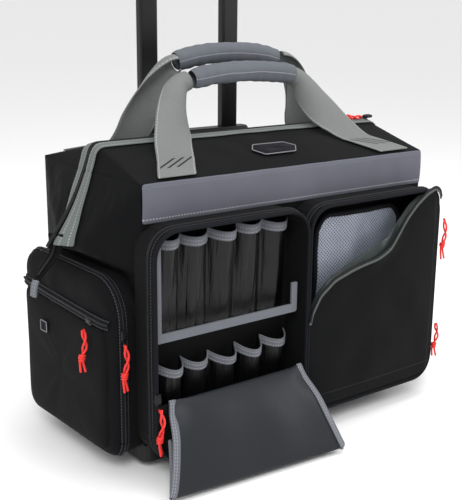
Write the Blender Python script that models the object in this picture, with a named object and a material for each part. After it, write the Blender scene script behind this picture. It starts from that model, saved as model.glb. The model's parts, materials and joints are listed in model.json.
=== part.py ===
"""Wheeled soft-sided carry case for art supplies, with a telescoping handle.

X runs along the case, Y towards its back and Z up, in metres. Everything is laid out in the case's own
coordinates, where y = 0 is the roof ridge and z = 0 the floor. The empty named case carries it all and
puts the middle of the footprint at the origin.
"""

import math

import bmesh
import bpy
from mathutils import Matrix, Vector

# Overall sizes
BODY_LENGTH = 0.423
FRONT_DEPTH = 0.100
BACK_DEPTH = 0.110
EAVE_HEIGHT = 0.327
RIDGE_RISE = 0.0275
RIDGE_INSET = 0.003
BASE_CLEARANCE = 0.009

# Walls and clearances
PANEL = 0.004
GAP = 0.0003
RUNNING_GAP = 0.00006
SLIDING_GAP = 0.0004

# Base tray and foot rail
TRAY_HEIGHT = 0.021
TRAY_FLOOR = 0.003
TRAY_CORNER = 0.012
FOOT_RAIL_LENGTH = 0.300
FOOT_RAIL_DEPTH = 0.022
FOOT_RAIL_Y = -0.074

# Grey band along the top of the front
BAND_HEIGHT = 0.042
BAND_THICKNESS = 0.0022

# Zipped end pockets
POCKET_DEPTH = 0.0407
DOOR_DEPTH = 0.016
POCKET_WALL = 0.0025
POCKET_SILL = 0.022
POCKET_TOP = 0.2225
POCKET_CORNER = 0.042
POCKET_FOOT_CORNER = 0.020
OUTER_POUCH_RISE = 0.004
OUTER_POUCH_TOP = 0.170
OUTER_POUCH_CLIMB = 0.008

# Bulge of the soft ends above the end pockets, and the zip tail
BULGE_REACH = 0.0385
BULGE_HEIGHT = 0.247
TAIL_REACH = 0.075
TAIL_DROP = 0.052
END_ZIP_THICKNESS = 0.0018
END_ZIP_FRONT = 0.024
END_ZIP_BACK = 0.013

# Front pockets
FRONT_POCKET_DEPTH = 0.038
FRONT_POCKET_WALL = 0.003
FRONT_POCKET_SILL = 0.026
FRONT_POCKET_CORNER = 0.030
POCKET_OVERHANG = 0.0015
POCKET_SPLIT = -0.008
ORGANIZER_SILL = 0.092
RIGHT_POCKET_SILL = 0.044

# Elastic tool pouches
POUCH_COUNT = 5
POUCH_PITCH = 0.0374
POUCH_BULGE = 0.0245
POUCH_CLOTH = 0.0014
POUCH_ROW_LEFT = -0.206
UPPER_ROW_DROP = 0.055
UPPER_ROW_HEIGHT = 0.100
LOWER_ROW_FOOT = 0.041
LOWER_ROW_TOP = 0.131
BOARD_EDGE = 0.012
BINDING_WIDTH = 0.010
BINDING_THICKNESS = 0.0013

# Organizer flap, which folds once across its width
FLAP_HINGE_HEIGHT = 0.096
FLAP_WIDTH = 0.200
FLAP_THICKNESS = 0.002
FLAP_UPPER_LENGTH = 0.099
FLAP_END_LENGTH = 0.074
FLAP_OPEN_ANGLE = 150.0
FLAP_FOLD_ANGLE = 180.0
FLAP_HINGE_OFFSET = 0.0025
FOLD_OFFSET = 0.003

# Mesh pocket inside the right-hand pocket
MESH_LEFT = 0.026
MESH_WIDTH = 0.140
MESH_FOOT = 0.095
MESH_DROP = 0.063
MESH_DEPTH = 0.011

# Carry handles: webbing legs and padded grips
WEBBING_WIDTH = 0.050
WEBBING_THICKNESS = 0.0025
STITCHED_Y = 0.050
CREASE_GAP = 0.0014
LEG_FOOT_INSET = 0.0485
LEG_SPREAD = 0.085
GRIP_HALF_LENGTH = 0.078

# Telescoping handle
RAIL_SPACING = 0.125
SLEEVE_SIZE = (0.029, 0.017)
SLEEVE_WALL = 0.0016
SLEEVE_FOOT = 0.046
SLEEVE_RISE = 0.004
STAGE_ONE_SIZE = (0.025, 0.013)
STAGE_TWO_SIZE = (0.0214, 0.0094)
TUBE_WALL = 0.0012
STAGE_ONE_LENGTH = 0.275
STAGE_TWO_LENGTH = 0.270
STAGE_OVERLAP = 0.044
BEZEL_OVERHANG = 0.0325
BEZEL_HEIGHT = 0.010
GRIP_OVERHANG = 0.0195
GRIP_DEPTH = 0.030
GRIP_HEIGHT = 0.057
GRIP_BAR = 0.032
GRIP_ARM = 0.039
SOCKET_DEPTH = 0.014
BUTTON_SIZE = (0.026, 0.014, 0.009)
BUTTON_RISE = 0.003

# Wheels
WHEEL_RADIUS = 0.032
WHEEL_WIDTH = 0.021
WHEEL_X = 0.155
WHEEL_SETBACK = 0.012
AXLE_RADIUS = 0.003
RIM_RADIUS = 0.026
WELL_CLEARANCE = 0.0035
HOUSING_WALL = 0.003
HOUSING_HEIGHT = 0.080
SPOKE_COUNT = 5

# Zip sliders and their cord pulls
SLIDER_SIZE = (0.008, 0.013, 0.0045)
CORD_RADIUS = 0.0025

HALF_LENGTH = BODY_LENGTH / 2
ORGANIZER_LEFT = -HALF_LENGTH - 0.0095
RIGHT_POCKET_RIGHT = HALF_LENGTH + POCKET_OVERHANG
LEG_FOOT_X = HALF_LENGTH - LEG_FOOT_INSET
UPPER_ROW_TOP = EAVE_HEIGHT - UPPER_ROW_DROP
UPPER_ROW_FOOT = UPPER_ROW_TOP - UPPER_ROW_HEIGHT
MESH_TOP = EAVE_HEIGHT - MESH_DROP
GRIP_WIDTH = RAIL_SPACING + 2 * GRIP_OVERHANG
BEZEL_LENGTH = RAIL_SPACING + 2 * BEZEL_OVERHANG
SLEEVE_TOP = EAVE_HEIGHT + SLEEVE_RISE
HALF_RIDGE = HALF_LENGTH - RIDGE_INSET
RIDGE_HEIGHT = EAVE_HEIGHT + RIDGE_RISE
ZIP_HALF_GAP = 0.005
TRAY_TOP = BASE_CLEARANCE + TRAY_HEIGHT
POCKET_FACE_Y = -FRONT_DEPTH - GAP
POCKET_FRONT_Y = -FRONT_DEPTH - FRONT_POCKET_DEPTH
RAIL_Y = BACK_DEPTH + GAP + SLEEVE_SIZE[1] / 2
WHEEL_Y = BACK_DEPTH + WHEEL_SETBACK
STAGE_ONE_FOOT = SLEEVE_TOP - STAGE_OVERLAP
STAGE_ONE_TOP = STAGE_ONE_FOOT + STAGE_ONE_LENGTH
STAGE_TWO_FOOT = STAGE_ONE_TOP - STAGE_OVERLAP
STAGE_TWO_TOP = STAGE_TWO_FOOT + STAGE_TWO_LENGTH
FLAP_AXIS_Y = POCKET_FRONT_Y - FLAP_HINGE_OFFSET
DOOR_X = HALF_LENGTH + GAP + POCKET_DEPTH - DOOR_DEPTH

MATERIALS = {
    "black_nylon": ((0.010, 0.011, 0.013), 0.85, 0.0),
    "grey_nylon": ((0.13, 0.13, 0.15), 0.8, 0.0),
    "grey_webbing": ((0.30, 0.31, 0.30), 0.75, 0.0),
    "slate_lining": ((0.028, 0.035, 0.045), 0.6, 0.0),
    "pouch_elastic": ((0.012, 0.013, 0.016), 0.5, 0.0),
    "mesh": ((0.22, 0.25, 0.34), 0.6, 0.0),
    "black_plastic": ((0.015, 0.015, 0.017), 0.45, 0.0),
    "black_tube": ((0.012, 0.012, 0.014), 0.3, 0.6),
    "steel": ((0.5, 0.5, 0.52), 0.3, 1.0),
    "rubber": ((0.012, 0.012, 0.012), 0.8, 0.0),
    "grey_plastic": ((0.2, 0.2, 0.21), 0.5, 0.0),
    "red_cord": ((0.82, 0.035, 0.02), 0.7, 0.0),
}


def clear_scene():
    for old in list(bpy.data.objects):
        bpy.data.objects.remove(old)


def material(name):
    found = bpy.data.materials.get(name)
    if found:
        return found
    colour, roughness, metallic = MATERIALS[name]
    made = bpy.data.materials.new(name)
    made.use_nodes = True
    shader = made.node_tree.nodes["Principled BSDF"]
    shader.inputs["Base Color"].default_value = (*colour, 1.0)
    shader.inputs["Roughness"].default_value = roughness
    shader.inputs["Metallic"].default_value = metallic
    made.diffuse_color = (*colour, 1.0)
    return made


class Pivot:
    """An empty on a joint axis, at a point given in the case's coordinates."""

    def __init__(self, name, parent=None, point=(0.0, 0.0, 0.0), turn=0.0):
        self.point = Vector(point)
        self.empty = bpy.data.objects.new(name, None)
        self.empty.empty_display_size = 0.02
        bpy.context.scene.collection.objects.link(self.empty)
        if parent:
            self.empty.parent = parent.empty
            self.empty.location = self.point - parent.point
        self.empty.rotation_euler = (math.radians(turn), 0.0, 0.0)


def add_mesh(name, shape, surface, pivot, smooth=None):
    """Makes the object of a bmesh laid out in the case's coordinates, with its origin on the pivot."""
    bmesh.ops.recalc_face_normals(shape, faces=shape.faces)
    bmesh.ops.translate(shape, verts=shape.verts, vec=-pivot.point)
    mesh = bpy.data.meshes.new(name)
    shape.to_mesh(mesh)
    shape.free()
    mesh.materials.append(material(surface))
    if smooth:
        mesh.shade_smooth()
        mesh.set_sharp_from_angle(angle=math.radians(smooth))
    made = bpy.data.objects.new(name, mesh)
    bpy.context.scene.collection.objects.link(made)
    made.parent = pivot.empty
    return made


def cut(target, cutter, operation="DIFFERENCE"):
    cutter.hide_render = True
    cutter.display_type = "WIRE"
    change = target.modifiers.new(cutter.name, "BOOLEAN")
    change.operation = operation
    change.solver = "EXACT"
    change.object = cutter


def place(plane, u, v, w):
    """The 3-D point of (u, v) in a plane such as XZ, at w along the remaining axis."""
    if plane == "XZ":
        return Vector((u, w, v))
    if plane == "YZ":
        return Vector((w, u, v))
    return Vector((u, v, w))


def skin(rings, cyclic=False):
    """Joins rings of equally many points into one closed surface, capped unless it closes on itself."""
    shape = bmesh.new()
    made = [[shape.verts.new(point) for point in ring] for ring in rings]
    count = len(made[0])
    spans = len(made) if cyclic else len(made) - 1
    for index in range(spans):
        first = made[index]
        second = made[(index + 1) % len(made)]
        for step in range(count):
            after = (step + 1) % count
            shape.faces.new((first[step], first[after], second[after], second[step]))
    if not cyclic:
        shape.faces.new(made[0][::-1])
        shape.faces.new(made[-1])
    return shape


def flat_ring(outline, plane, level):
    return [place(plane, u, v, level) for u, v in outline]


def prism(outline, plane, low, high):
    return skin([flat_ring(outline, plane, low), flat_ring(outline, plane, high)])


def tube_prism(outer, inner, plane, low, high):
    rings = [(outer, low), (outer, high), (inner, high), (inner, low)]
    return skin([flat_ring(line, plane, level) for line, level in rings], cyclic=True)


def tray(outer, inner, plane, closed, mouth, floor):
    """A tray with its floor at closed and its mouth at mouth, along the axis across the plane."""
    inside = closed + math.copysign(floor, mouth - closed)
    rings = [(outer, closed), (outer, mouth), (inner, mouth), (inner, inside)]
    return skin([flat_ring(line, plane, level) for line, level in rings])


def fillet(corners, steps=4):
    """An outline from (u, v, radius) corners, each rounded by an arc of its radius."""
    outline = []
    for index, (u, v, radius) in enumerate(corners):
        here = Vector((u, v))
        if not radius:
            outline.append((u, v))
            continue
        back = (Vector(corners[index - 1][:2]) - here).normalized()
        ahead = (Vector(corners[(index + 1) % len(corners)][:2]) - here).normalized()
        half = back.angle(ahead) / 2
        centre = here + (back + ahead).normalized() * radius / math.sin(half)
        start = here + back * radius / math.tan(half) - centre
        end = here + ahead * radius / math.tan(half) - centre
        turn = math.atan2(start.x * end.y - start.y * end.x, start.dot(end))
        for step in range(steps + 1):
            spoke = Matrix.Rotation(turn * step / steps, 2) @ start
            outline.append(tuple(centre + spoke))
    return outline


def rounded_rectangle(left, right, low, high, radius, steps=4):
    corners = [(left, low), (right, low), (right, high), (left, high)]
    return fillet([(u, v, radius) for u, v in corners], steps)


def box(x, y, z):
    """A plain block from three (low, high) pairs."""
    outline = [(x[0], y[0]), (x[1], y[0]), (x[1], y[1]), (x[0], y[1])]
    return prism(outline, "XY", *z)


def revolve(profile, centre, steps):
    """Turns an (along X, radius) profile that goes round a bore about the X axis through centre."""
    rings = []
    for step in range(steps):
        angle = math.tau * step / steps
        side = Vector((0.0, math.cos(angle), math.sin(angle)))
        rings.append([centre + Vector((along, 0, 0)) + side * radius for along, radius in profile])
    return skin(rings, cyclic=True)


def oval(centre, across, thick, half_width, half_thickness, steps=12, power=0.5):
    """A flattened ring of points: power 1 is an ellipse, and lower values square it off."""
    ring = []
    for step in range(steps):
        angle = math.tau * (step + 0.5) / steps
        run = math.copysign(abs(math.cos(angle)) ** power, math.cos(angle))
        rise = math.copysign(abs(math.sin(angle)) ** power, math.sin(angle))
        ring.append(centre + across * run * half_width + thick * rise * half_thickness)
    return ring


def smooth_line(points, steps):
    """Points read from a Catmull-Rom curve through the given ones."""
    route = [Vector(point) for point in points]
    route = [route[0] * 2 - route[1]] + route + [route[-1] * 2 - route[-2]]
    line = []
    for index in range(1, len(route) - 2):
        before, start, end, after = route[index - 1 : index + 3]
        for step in range(steps):
            t = step / steps
            slope_in = (end - before) / 2
            slope_out = (after - start) / 2
            line.append(
                start * (2 * t**3 - 3 * t**2 + 1)
                + slope_in * (t**3 - 2 * t**2 + t)
                + end * (3 * t**2 - 2 * t**3)
                + slope_out * (t**3 - t**2)
            )
    line.append(route[-2])
    return line


def roof_height(y):
    depth = FRONT_DEPTH if y < 0 else BACK_DEPTH
    slope = (RIDGE_HEIGHT - EAVE_HEIGHT) / (depth - ZIP_HALF_GAP)
    return min(RIDGE_HEIGHT, EAVE_HEIGHT + (depth - abs(y)) * slope)


def ridge_end(height):
    """How far the soft end reaches along X at the middle of the case's depth."""
    if height >= EAVE_HEIGHT:
        share = (height - EAVE_HEIGHT) / (RIDGE_HEIGHT - EAVE_HEIGHT)
        return end_at_eave() + (HALF_RIDGE - end_at_eave()) * share
    share = (EAVE_HEIGHT - height) / (EAVE_HEIGHT - BULGE_HEIGHT)
    return end_at_eave() + (HALF_LENGTH + BULGE_REACH - end_at_eave()) * share


def end_at_eave():
    share = (RIDGE_HEIGHT - EAVE_HEIGHT) / (RIDGE_HEIGHT - BULGE_HEIGHT)
    return HALF_RIDGE + (HALF_LENGTH + BULGE_REACH - HALF_RIDGE) * share


# ---------------------------------------------------------------- body


def make_base_tray(case):
    """The moulded tray under the case, with the foot rail that it stands on at the front."""
    outline = (-HALF_LENGTH, HALF_LENGTH, -FRONT_DEPTH, BACK_DEPTH)
    inset = (-HALF_LENGTH + PANEL, HALF_LENGTH - PANEL, -FRONT_DEPTH + PANEL, BACK_DEPTH - PANEL)
    outer = rounded_rectangle(*outline, TRAY_CORNER)
    inner = rounded_rectangle(*inset, TRAY_CORNER - PANEL)
    shape = tray(outer, inner, "XY", BASE_CLEARANCE, TRAY_TOP, TRAY_FLOOR)
    base = add_mesh("base_tray", shape, "black_plastic", case, smooth=40)
    half = FOOT_RAIL_LENGTH / 2
    y = (FOOT_RAIL_Y - FOOT_RAIL_DEPTH / 2, FOOT_RAIL_Y + FOOT_RAIL_DEPTH / 2)
    top = BASE_CLEARANCE + TRAY_FLOOR / 2
    chamfer = 0.003
    foot = rounded_rectangle(-half + chamfer, half - chamfer, y[0] + chamfer, y[1] - chamfer, 0.006)
    head = rounded_rectangle(-half, half, *y, 0.009)
    rings = [flat_ring(foot, "XY", 0), flat_ring(head, "XY", chamfer), flat_ring(head, "XY", top)]
    cut(base, add_mesh("join_foot_rail", skin(rings), "black_plastic", case), "UNION")
    return base


def make_flat_panels(case):
    x = (-HALF_LENGTH, HALF_LENGTH)
    z = (TRAY_TOP + GAP, EAVE_HEIGHT - GAP)
    front = box(x, (-FRONT_DEPTH, -FRONT_DEPTH + PANEL), z)
    add_mesh("front_panel", front, "black_nylon", case)
    back = box(x, (BACK_DEPTH - PANEL, BACK_DEPTH), z)
    return add_mesh("back_panel", back, "black_nylon", case)


def make_end_panel(case, name, side):
    """An end that is flat behind its pocket and swells out above it to the end of the zip."""
    front = -FRONT_DEPTH + PANEL + GAP
    back = BACK_DEPTH - PANEL - GAP
    top = EAVE_HEIGHT - GAP
    shoulder = POCKET_TOP + PANEL
    wall = side * HALF_LENGTH
    places = {
        "foot_front": (wall, front, TRAY_TOP + GAP),
        "foot_back": (wall, back, TRAY_TOP + GAP),
        "shoulder_front": (wall, front, shoulder),
        "shoulder_back": (wall, back, shoulder),
        "shoulder_mid": (wall, 0.0, shoulder),
        "bulge": (side * (HALF_LENGTH + BULGE_REACH), 0.0, BULGE_HEIGHT),
        "wing_front": (wall, front, top),
        "wing_back": (wall, back, top),
        "top_front": (wall, front, top),
        "top_back": (wall, back, top),
        "top_mid": (side * end_at_eave(), 0.0, top),
    }
    for edge, width in (("front", END_ZIP_FRONT), ("back", END_ZIP_BACK)):
        across = Vector(places[f"top_{edge}"]) - Vector(places["top_mid"])
        places[f"wing_{edge}"] = Vector(places["bulge"]) + across.normalized() * width
    faces = [
        ("foot_front", "foot_back", "shoulder_back", "shoulder_mid", "shoulder_front"),
        ("shoulder_front", "shoulder_mid", "wing_front"),
        ("shoulder_mid", "bulge", "wing_front"),
        ("shoulder_mid", "wing_back", "bulge"),
        ("shoulder_mid", "shoulder_back", "wing_back"),
        ("shoulder_front", "wing_front", "top_front"),
        ("shoulder_back", "top_back", "wing_back"),
        ("top_front", "wing_front", "bulge", "top_mid"),
        ("top_mid", "bulge", "wing_back", "top_back"),
    ]
    add_mesh(name, folded_sheet(places, faces, side), "black_nylon", case)


def folded_sheet(places, faces, side):
    """A sheet of the panel's thickness, grown inwards from the outer faces given by their corners."""
    inward = Vector((-side * PANEL, 0, 0))
    shape = bmesh.new()
    outer = {key: shape.verts.new(point) for key, point in places.items()}
    inner = {key: shape.verts.new(Vector(point) + inward) for key, point in places.items()}
    edges = {}
    for face in faces:
        shape.faces.new([outer[key] for key in face])
        shape.faces.new([inner[key] for key in face[::-1]])
        for start, end in zip(face, face[1:] + face[:1]):
            edges.setdefault(frozenset((start, end)), []).append((start, end))
    for (start, end), *others in edges.values():
        if not others:
            shape.faces.new((outer[start], outer[end], inner[end], inner[start]))
    return shape


def make_front_band(case):
    shape = box(
        (-HALF_LENGTH, HALF_LENGTH),
        (POCKET_FACE_Y - BAND_THICKNESS, POCKET_FACE_Y),
        (EAVE_HEIGHT - BAND_HEIGHT, EAVE_HEIGHT - GAP),
    )
    add_mesh("front_band", shape, "grey_nylon", case)


# ---------------------------------------------------------------- front pockets


def front_pocket_lines(left, right):
    """The outer and inner outlines of a front pocket, in XZ."""
    top = EAVE_HEIGHT - BAND_HEIGHT - GAP
    wall = FRONT_POCKET_WALL
    outer = rounded_rectangle(left, right, FRONT_POCKET_SILL, top, FRONT_POCKET_CORNER)
    inner = rounded_rectangle(
        left + wall, right - wall, FRONT_POCKET_SILL + wall, top - wall, FRONT_POCKET_CORNER - wall
    )
    return outer, inner


def make_front_pocket(case, name, left, right, sill):
    """A pocket gusset whose front is closed up to its sill."""
    outer, inner = front_pocket_lines(left, right)
    shape = tray(outer, inner, "XZ", POCKET_FRONT_Y, POCKET_FACE_Y, FRONT_POCKET_WALL)
    pocket = add_mesh(name, shape, "black_nylon", case, smooth=40)
    beyond = FRONT_POCKET_WALL
    window = prism(inner, "XZ", POCKET_FRONT_Y - beyond, POCKET_FRONT_Y + 2 * beyond)
    for vert in window.verts:
        vert.co.z = max(vert.co.z, sill)
    bmesh.ops.remove_doubles(window, verts=window.verts, dist=1e-6)
    opening = add_mesh(f"cut_{name}", window, "black_nylon", case)
    cut(pocket, opening)


def pouch_front(offset, foot):
    """The scalloped front line of a pouch row, moved out by offset, from left to right."""
    half = POUCH_PITCH / 2
    reach = half + offset
    start = math.acos(min(1.0, (half - GAP) / reach)) if offset >= 0 else math.radians(4)
    line = []
    arc_steps = 8
    for pouch in range(POUCH_COUNT):
        middle = POUCH_ROW_LEFT + POUCH_PITCH * (pouch + 0.5)
        for step in range(arc_steps + 1):
            angle = math.pi - start - (math.pi - 2 * start) * step / arc_steps
            line.append((middle + reach * math.cos(angle), foot - (POUCH_BULGE + offset) * math.sin(angle)))
    return line


def make_pouch_row(case, name, foot, top, board):
    """A row of elastic tubes sewn to a backing sheet, each closed at its foot and open at its top."""
    back = POCKET_FACE_Y - GAP
    valley = back - POUCH_CLOTH
    right = POUCH_ROW_LEFT + POUCH_PITCH * POUCH_COUNT
    outline = pouch_front(0.0, valley) + [(right, back), (POUCH_ROW_LEFT, back)]
    row = add_mesh(name, prism(outline, "XY", foot, top), "pouch_elastic", case, smooth=50)
    for pouch in range(POUCH_COUNT):
        middle = POUCH_ROW_LEFT + POUCH_PITCH * (pouch + 0.5)
        hollow = []
        for step in range(11):
            angle = math.pi * step / 10
            run = (POUCH_PITCH / 2 - POUCH_CLOTH) * math.cos(angle)
            hollow.append((middle + run, valley - (POUCH_BULGE - POUCH_CLOTH) * math.sin(angle)))
        shape = prism(hollow, "XY", foot + POUCH_CLOTH, top + POUCH_CLOTH)
        cut(row, add_mesh(f"cut_{name}_{pouch}", shape, "pouch_elastic", case))
    if board:
        edge = box((POUCH_ROW_LEFT, right), (valley - POUCH_BULGE, back), (foot - board, foot + GAP))
        cut(row, add_mesh(f"join_{name}", edge, "pouch_elastic", case), "UNION")
    return row


def make_pouch_binding(case, name, top):
    """The grey loops that edge the tops of the pouches."""
    valley = POCKET_FACE_Y - GAP - POUCH_CLOTH
    inner = pouch_front(GAP, valley)
    outer = pouch_front(GAP + BINDING_THICKNESS, valley)
    low = top - BINDING_WIDTH
    shape = prism(inner + outer[::-1], "XY", low, top + GAP)
    add_mesh(name, shape, "grey_webbing", case, smooth=50)


def make_board_binding(case):
    """The grey edging down the left side and along the foot of the upper pouch board."""
    front = POCKET_FACE_Y - GAP - POUCH_CLOTH - POUCH_BULGE - 2 * GAP
    left = ORGANIZER_LEFT + FRONT_POCKET_WALL + 0.001
    right = POUCH_ROW_LEFT + POUCH_PITCH * POUCH_COUNT
    foot = UPPER_ROW_FOOT - BOARD_EDGE
    width = BINDING_WIDTH
    top = UPPER_ROW_TOP - 0.006
    short = foot + 0.036
    corners = [
        (left, foot, 0.003),
        (right, foot, 0.003),
        (right, short, 0.001),
        (right - width * 0.8, short, 0.001),
        (right - width * 0.8, foot + width, 0.0),
        (left + width, foot + width, 0.0),
        (left + width, top, 0.001),
        (left, top, width - 0.001),
    ]
    depth = 2 * BINDING_THICKNESS
    shape = prism(fillet(corners, 3), "XZ", front - depth, front)
    add_mesh("pouch_board_binding", shape, "grey_webbing", case)


def make_mesh_pocket(case):
    """A flat net pocket on the front panel, open along its top."""
    wall = 0.0015
    right = MESH_LEFT + MESH_WIDTH
    y = (POCKET_FACE_Y - GAP - MESH_DEPTH, POCKET_FACE_Y - GAP)
    outer = rounded_rectangle(MESH_LEFT, right, *y, 0.003, 2)
    inner = rounded_rectangle(MESH_LEFT + wall, right - wall, y[0] + wall, y[1] - wall, 0.0015, 2)
    shape = tray(outer, inner, "XY", MESH_FOOT, MESH_TOP, wall)
    add_mesh("mesh_pocket", shape, "mesh", case, smooth=50)


def make_organizer_flap(flap, flap_end):
    """The two halves of the organizer's cover, laid out closed: its pivots swing them to their rest."""
    y = (FLAP_AXIS_Y - FLAP_THICKNESS / 2, FLAP_AXIS_Y + FLAP_THICKNESS / 2)
    centre = (ORGANIZER_LEFT + POCKET_SPLIT) / 2
    half = FLAP_WIDTH / 2
    hinge_half = half - 0.006
    foot = FLAP_HINGE_HEIGHT + FLAP_THICKNESS
    fold = FLAP_HINGE_HEIGHT + FLAP_UPPER_LENGTH
    rise = 0.035
    upper = [
        (centre - hinge_half, foot),
        (centre + hinge_half, foot),
        (centre + half, foot + rise),
        (centre + half, fold),
        (centre - half, fold),
        (centre - half, foot + rise),
    ]
    add_mesh("organizer_flap", prism(upper, "XZ", *y), "slate_lining", flap)
    start = fold + FOLD_OFFSET
    end = fillet(
        [
            (centre - half, start, 0),
            (centre + half, start, 0),
            (centre + half, start + FLAP_END_LENGTH, 0.020),
            (centre - half, start + FLAP_END_LENGTH, 0.020),
        ]
    )
    add_mesh("organizer_flap_end", prism(end, "XZ", *y), "slate_lining", flap_end)


def make_right_flap(pivot):
    """The cover of the right-hand pocket, unzipped along its left and slumped down to a curved lip."""
    left = POCKET_SPLIT + GAP
    right = RIGHT_POCKET_RIGHT
    top = EAVE_HEIGHT - BAND_HEIGHT - GAP
    foot = RIGHT_POCKET_SILL + 0.001
    lip = smooth_line(
        [
            (right - 0.014, top - 0.001, 0),
            (right - 0.046, top - 0.018, 0),
            (right - 0.080, top - 0.049, 0),
            (right - 0.118, top - 0.075, 0),
            (right - 0.179, top - 0.092, 0),
            (left + 0.012, top - 0.110, 0),
            (left, top - 0.150, 0),
        ],
        3,
    )
    corners = [(left, foot, 0.014), (right, foot, 0.016), (right, top - 0.012, 0)]
    outline = [(point.x, point.y) for point in lip] + fillet(corners)
    outline = outline[:-1] + [(right, top - 0.012)]
    y = (pivot.point.y, pivot.point.y + FRONT_POCKET_WALL)
    add_mesh("right_pocket_flap", prism(outline, "XZ", *y), "black_nylon", pivot)


# ---------------------------------------------------------------- end pockets


def end_pocket_line(inset):
    """The outline of an end pocket in YZ, moved in by inset."""
    front = -FRONT_DEPTH + 0.0015 + inset
    back = BACK_DEPTH - 0.0095 - inset
    low = POCKET_SILL + inset
    top = POCKET_TOP - inset
    corners = [
        (front, low, POCKET_FOOT_CORNER - inset),
        (back, low, POCKET_FOOT_CORNER - inset),
        (back, top, POCKET_CORNER / 2 - inset),
        (front, top, POCKET_CORNER - inset),
    ]
    return fillet(corners)


def make_end_pocket(case, door, name, side):
    """A gusset sewn to the end, and a tray-shaped door that carries a flat outer pouch."""
    outer = end_pocket_line(0.0)
    inner = end_pocket_line(POCKET_WALL)
    start = side * (HALF_LENGTH + GAP)
    end = side * (DOOR_X - GAP)
    gusset = tube_prism(outer, inner, "YZ", start, end)
    add_mesh(f"{name}_end_pocket_gusset", gusset, "black_nylon", case, smooth=40)
    face = side * (DOOR_X + DOOR_DEPTH)
    shape = tray(outer, inner, "YZ", face, side * DOOR_X, POCKET_WALL)
    lid = add_mesh(f"{name}_end_pocket_door", shape, "black_nylon", door, smooth=40)
    pouch = [
        (-FRONT_DEPTH + 0.010, POCKET_SILL + 0.008, 0.014),
        (BACK_DEPTH - 0.018, POCKET_SILL + 0.008, 0.014),
        (BACK_DEPTH - 0.018, OUTER_POUCH_TOP + OUTER_POUCH_CLIMB, 0.004),
        (-FRONT_DEPTH + 0.010, OUTER_POUCH_TOP, 0.004),
    ]
    sunk = face - side * POCKET_WALL / 2
    raised = prism(fillet(pouch), "YZ", sunk, face + side * OUTER_POUCH_RISE)
    cut(lid, add_mesh(f"join_{name}_pouch", raised, "black_nylon", door), "UNION")


def make_end_zip(case, name, side):
    """The zip's run down a soft end: two grey bindings folded over the bulge."""
    top = EAVE_HEIGHT - 2 * GAP
    lift = 2 * GAP
    fold = Vector((side * end_at_eave(), 0, top))
    ahead = (Vector((side * HALF_LENGTH, -FRONT_DEPTH + PANEL + GAP, top)) - fold).normalized()
    behind = (Vector((side * HALF_LENGTH, BACK_DEPTH - PANEL - GAP, top)) - fold).normalized()
    inset = 0.001
    widths = [(0.015, 0.015), (END_ZIP_FRONT - inset, END_ZIP_BACK - inset)]
    rings = []
    for height, (front_width, back_width) in zip((top, BULGE_HEIGHT + 0.004), widths):
        ridge = Vector((side * ridge_end(height), 0, height))
        out = Vector((side, 0, 0))
        near = out * lift
        far = out * (lift + END_ZIP_THICKNESS)
        rings.append(
            [
                ridge + ahead * front_width + near,
                ridge + near * 1.2,
                ridge + behind * back_width + near,
                ridge + behind * back_width + far,
                ridge + far * 1.3,
                ridge + ahead * front_width + far,
            ]
        )
    add_mesh(f"{name}_end_zip", skin(rings), "grey_webbing", case)


def tail_root():
    return Vector((-HALF_LENGTH - BULGE_REACH - 0.0035, -0.003, BULGE_HEIGHT))


def make_zip_tail(pivot):
    """The loose end of the roof's zip, folded to a narrow tab that hangs off the left end."""
    root = pivot.point
    tip = Vector((-HALF_LENGTH - TAIL_REACH, -0.006, BULGE_HEIGHT - TAIL_DROP))
    out = Vector((tip.z - root.z, 0, root.x - tip.x)).normalized()
    rings = []
    for share, half in ((0.0, 0.0095), (0.3, 0.0080), (0.65, 0.0060), (0.9, 0.0055), (1.0, 0.0030)):
        centre = root.lerp(tip, share) + out * 0.004 * share * (1 - share)
        rings.append(oval(centre, Vector((0, 1, 0)), out, half, 0.0013, 8))
    add_mesh("zip_tail", skin(rings), "grey_webbing", pivot, smooth=50)


# ---------------------------------------------------------------- roof


def make_roof_half(pivot, name, side):
    """One half of the zipped roof, with its half gables and the stitched feet of a handle."""
    depth = FRONT_DEPTH if side < 0 else BACK_DEPTH
    eave_y = side * depth
    ridge_y = side * ZIP_HALF_GAP
    eave = EAVE_HEIGHT + GAP
    points = {}
    for end in (-1, 1):
        points["eave", end] = (end * HALF_LENGTH, eave_y, eave)
        points["mid", end] = (end * end_at_eave(), ridge_y, eave)
        points["ridge", end] = (end * HALF_RIDGE, ridge_y, RIDGE_HEIGHT)
    shell = bmesh.new()
    outer = {key: shell.verts.new(point) for key, point in points.items()}
    inner = {}
    for key, (x, y, z) in points.items():
        drop = PANEL if key[0] == "ridge" else 0.0
        tuck = -side * PANEL if key[0] == "eave" else 0.0
        inner[key] = shell.verts.new((x - math.copysign(PANEL, x), y + tuck, z - drop))
    faces = [[("eave", -1), ("eave", 1), ("ridge", 1), ("ridge", -1)]]
    for end in (-1, 1):
        faces.append([("eave", end), ("mid", end), ("ridge", end)])
    edges = {}
    for face in faces:
        shell.faces.new([outer[key] for key in face])
        shell.faces.new([inner[key] for key in face[::-1]])
        for start, stop in zip(face, face[1:] + face[:1]):
            edges.setdefault(frozenset((start, stop)), []).append((start, stop))
    for (start, stop), *others in edges.values():
        if not others:
            shell.faces.new((outer[start], outer[stop], inner[stop], inner[start]))
    roof = add_mesh(name, shell, "black_nylon", pivot)
    for end in (-1, 1):
        pad = stitched_foot(side, end)
        cut(roof, add_mesh(f"join_{name}_{end + 1}", pad, "grey_webbing", pivot), "UNION")


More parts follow.
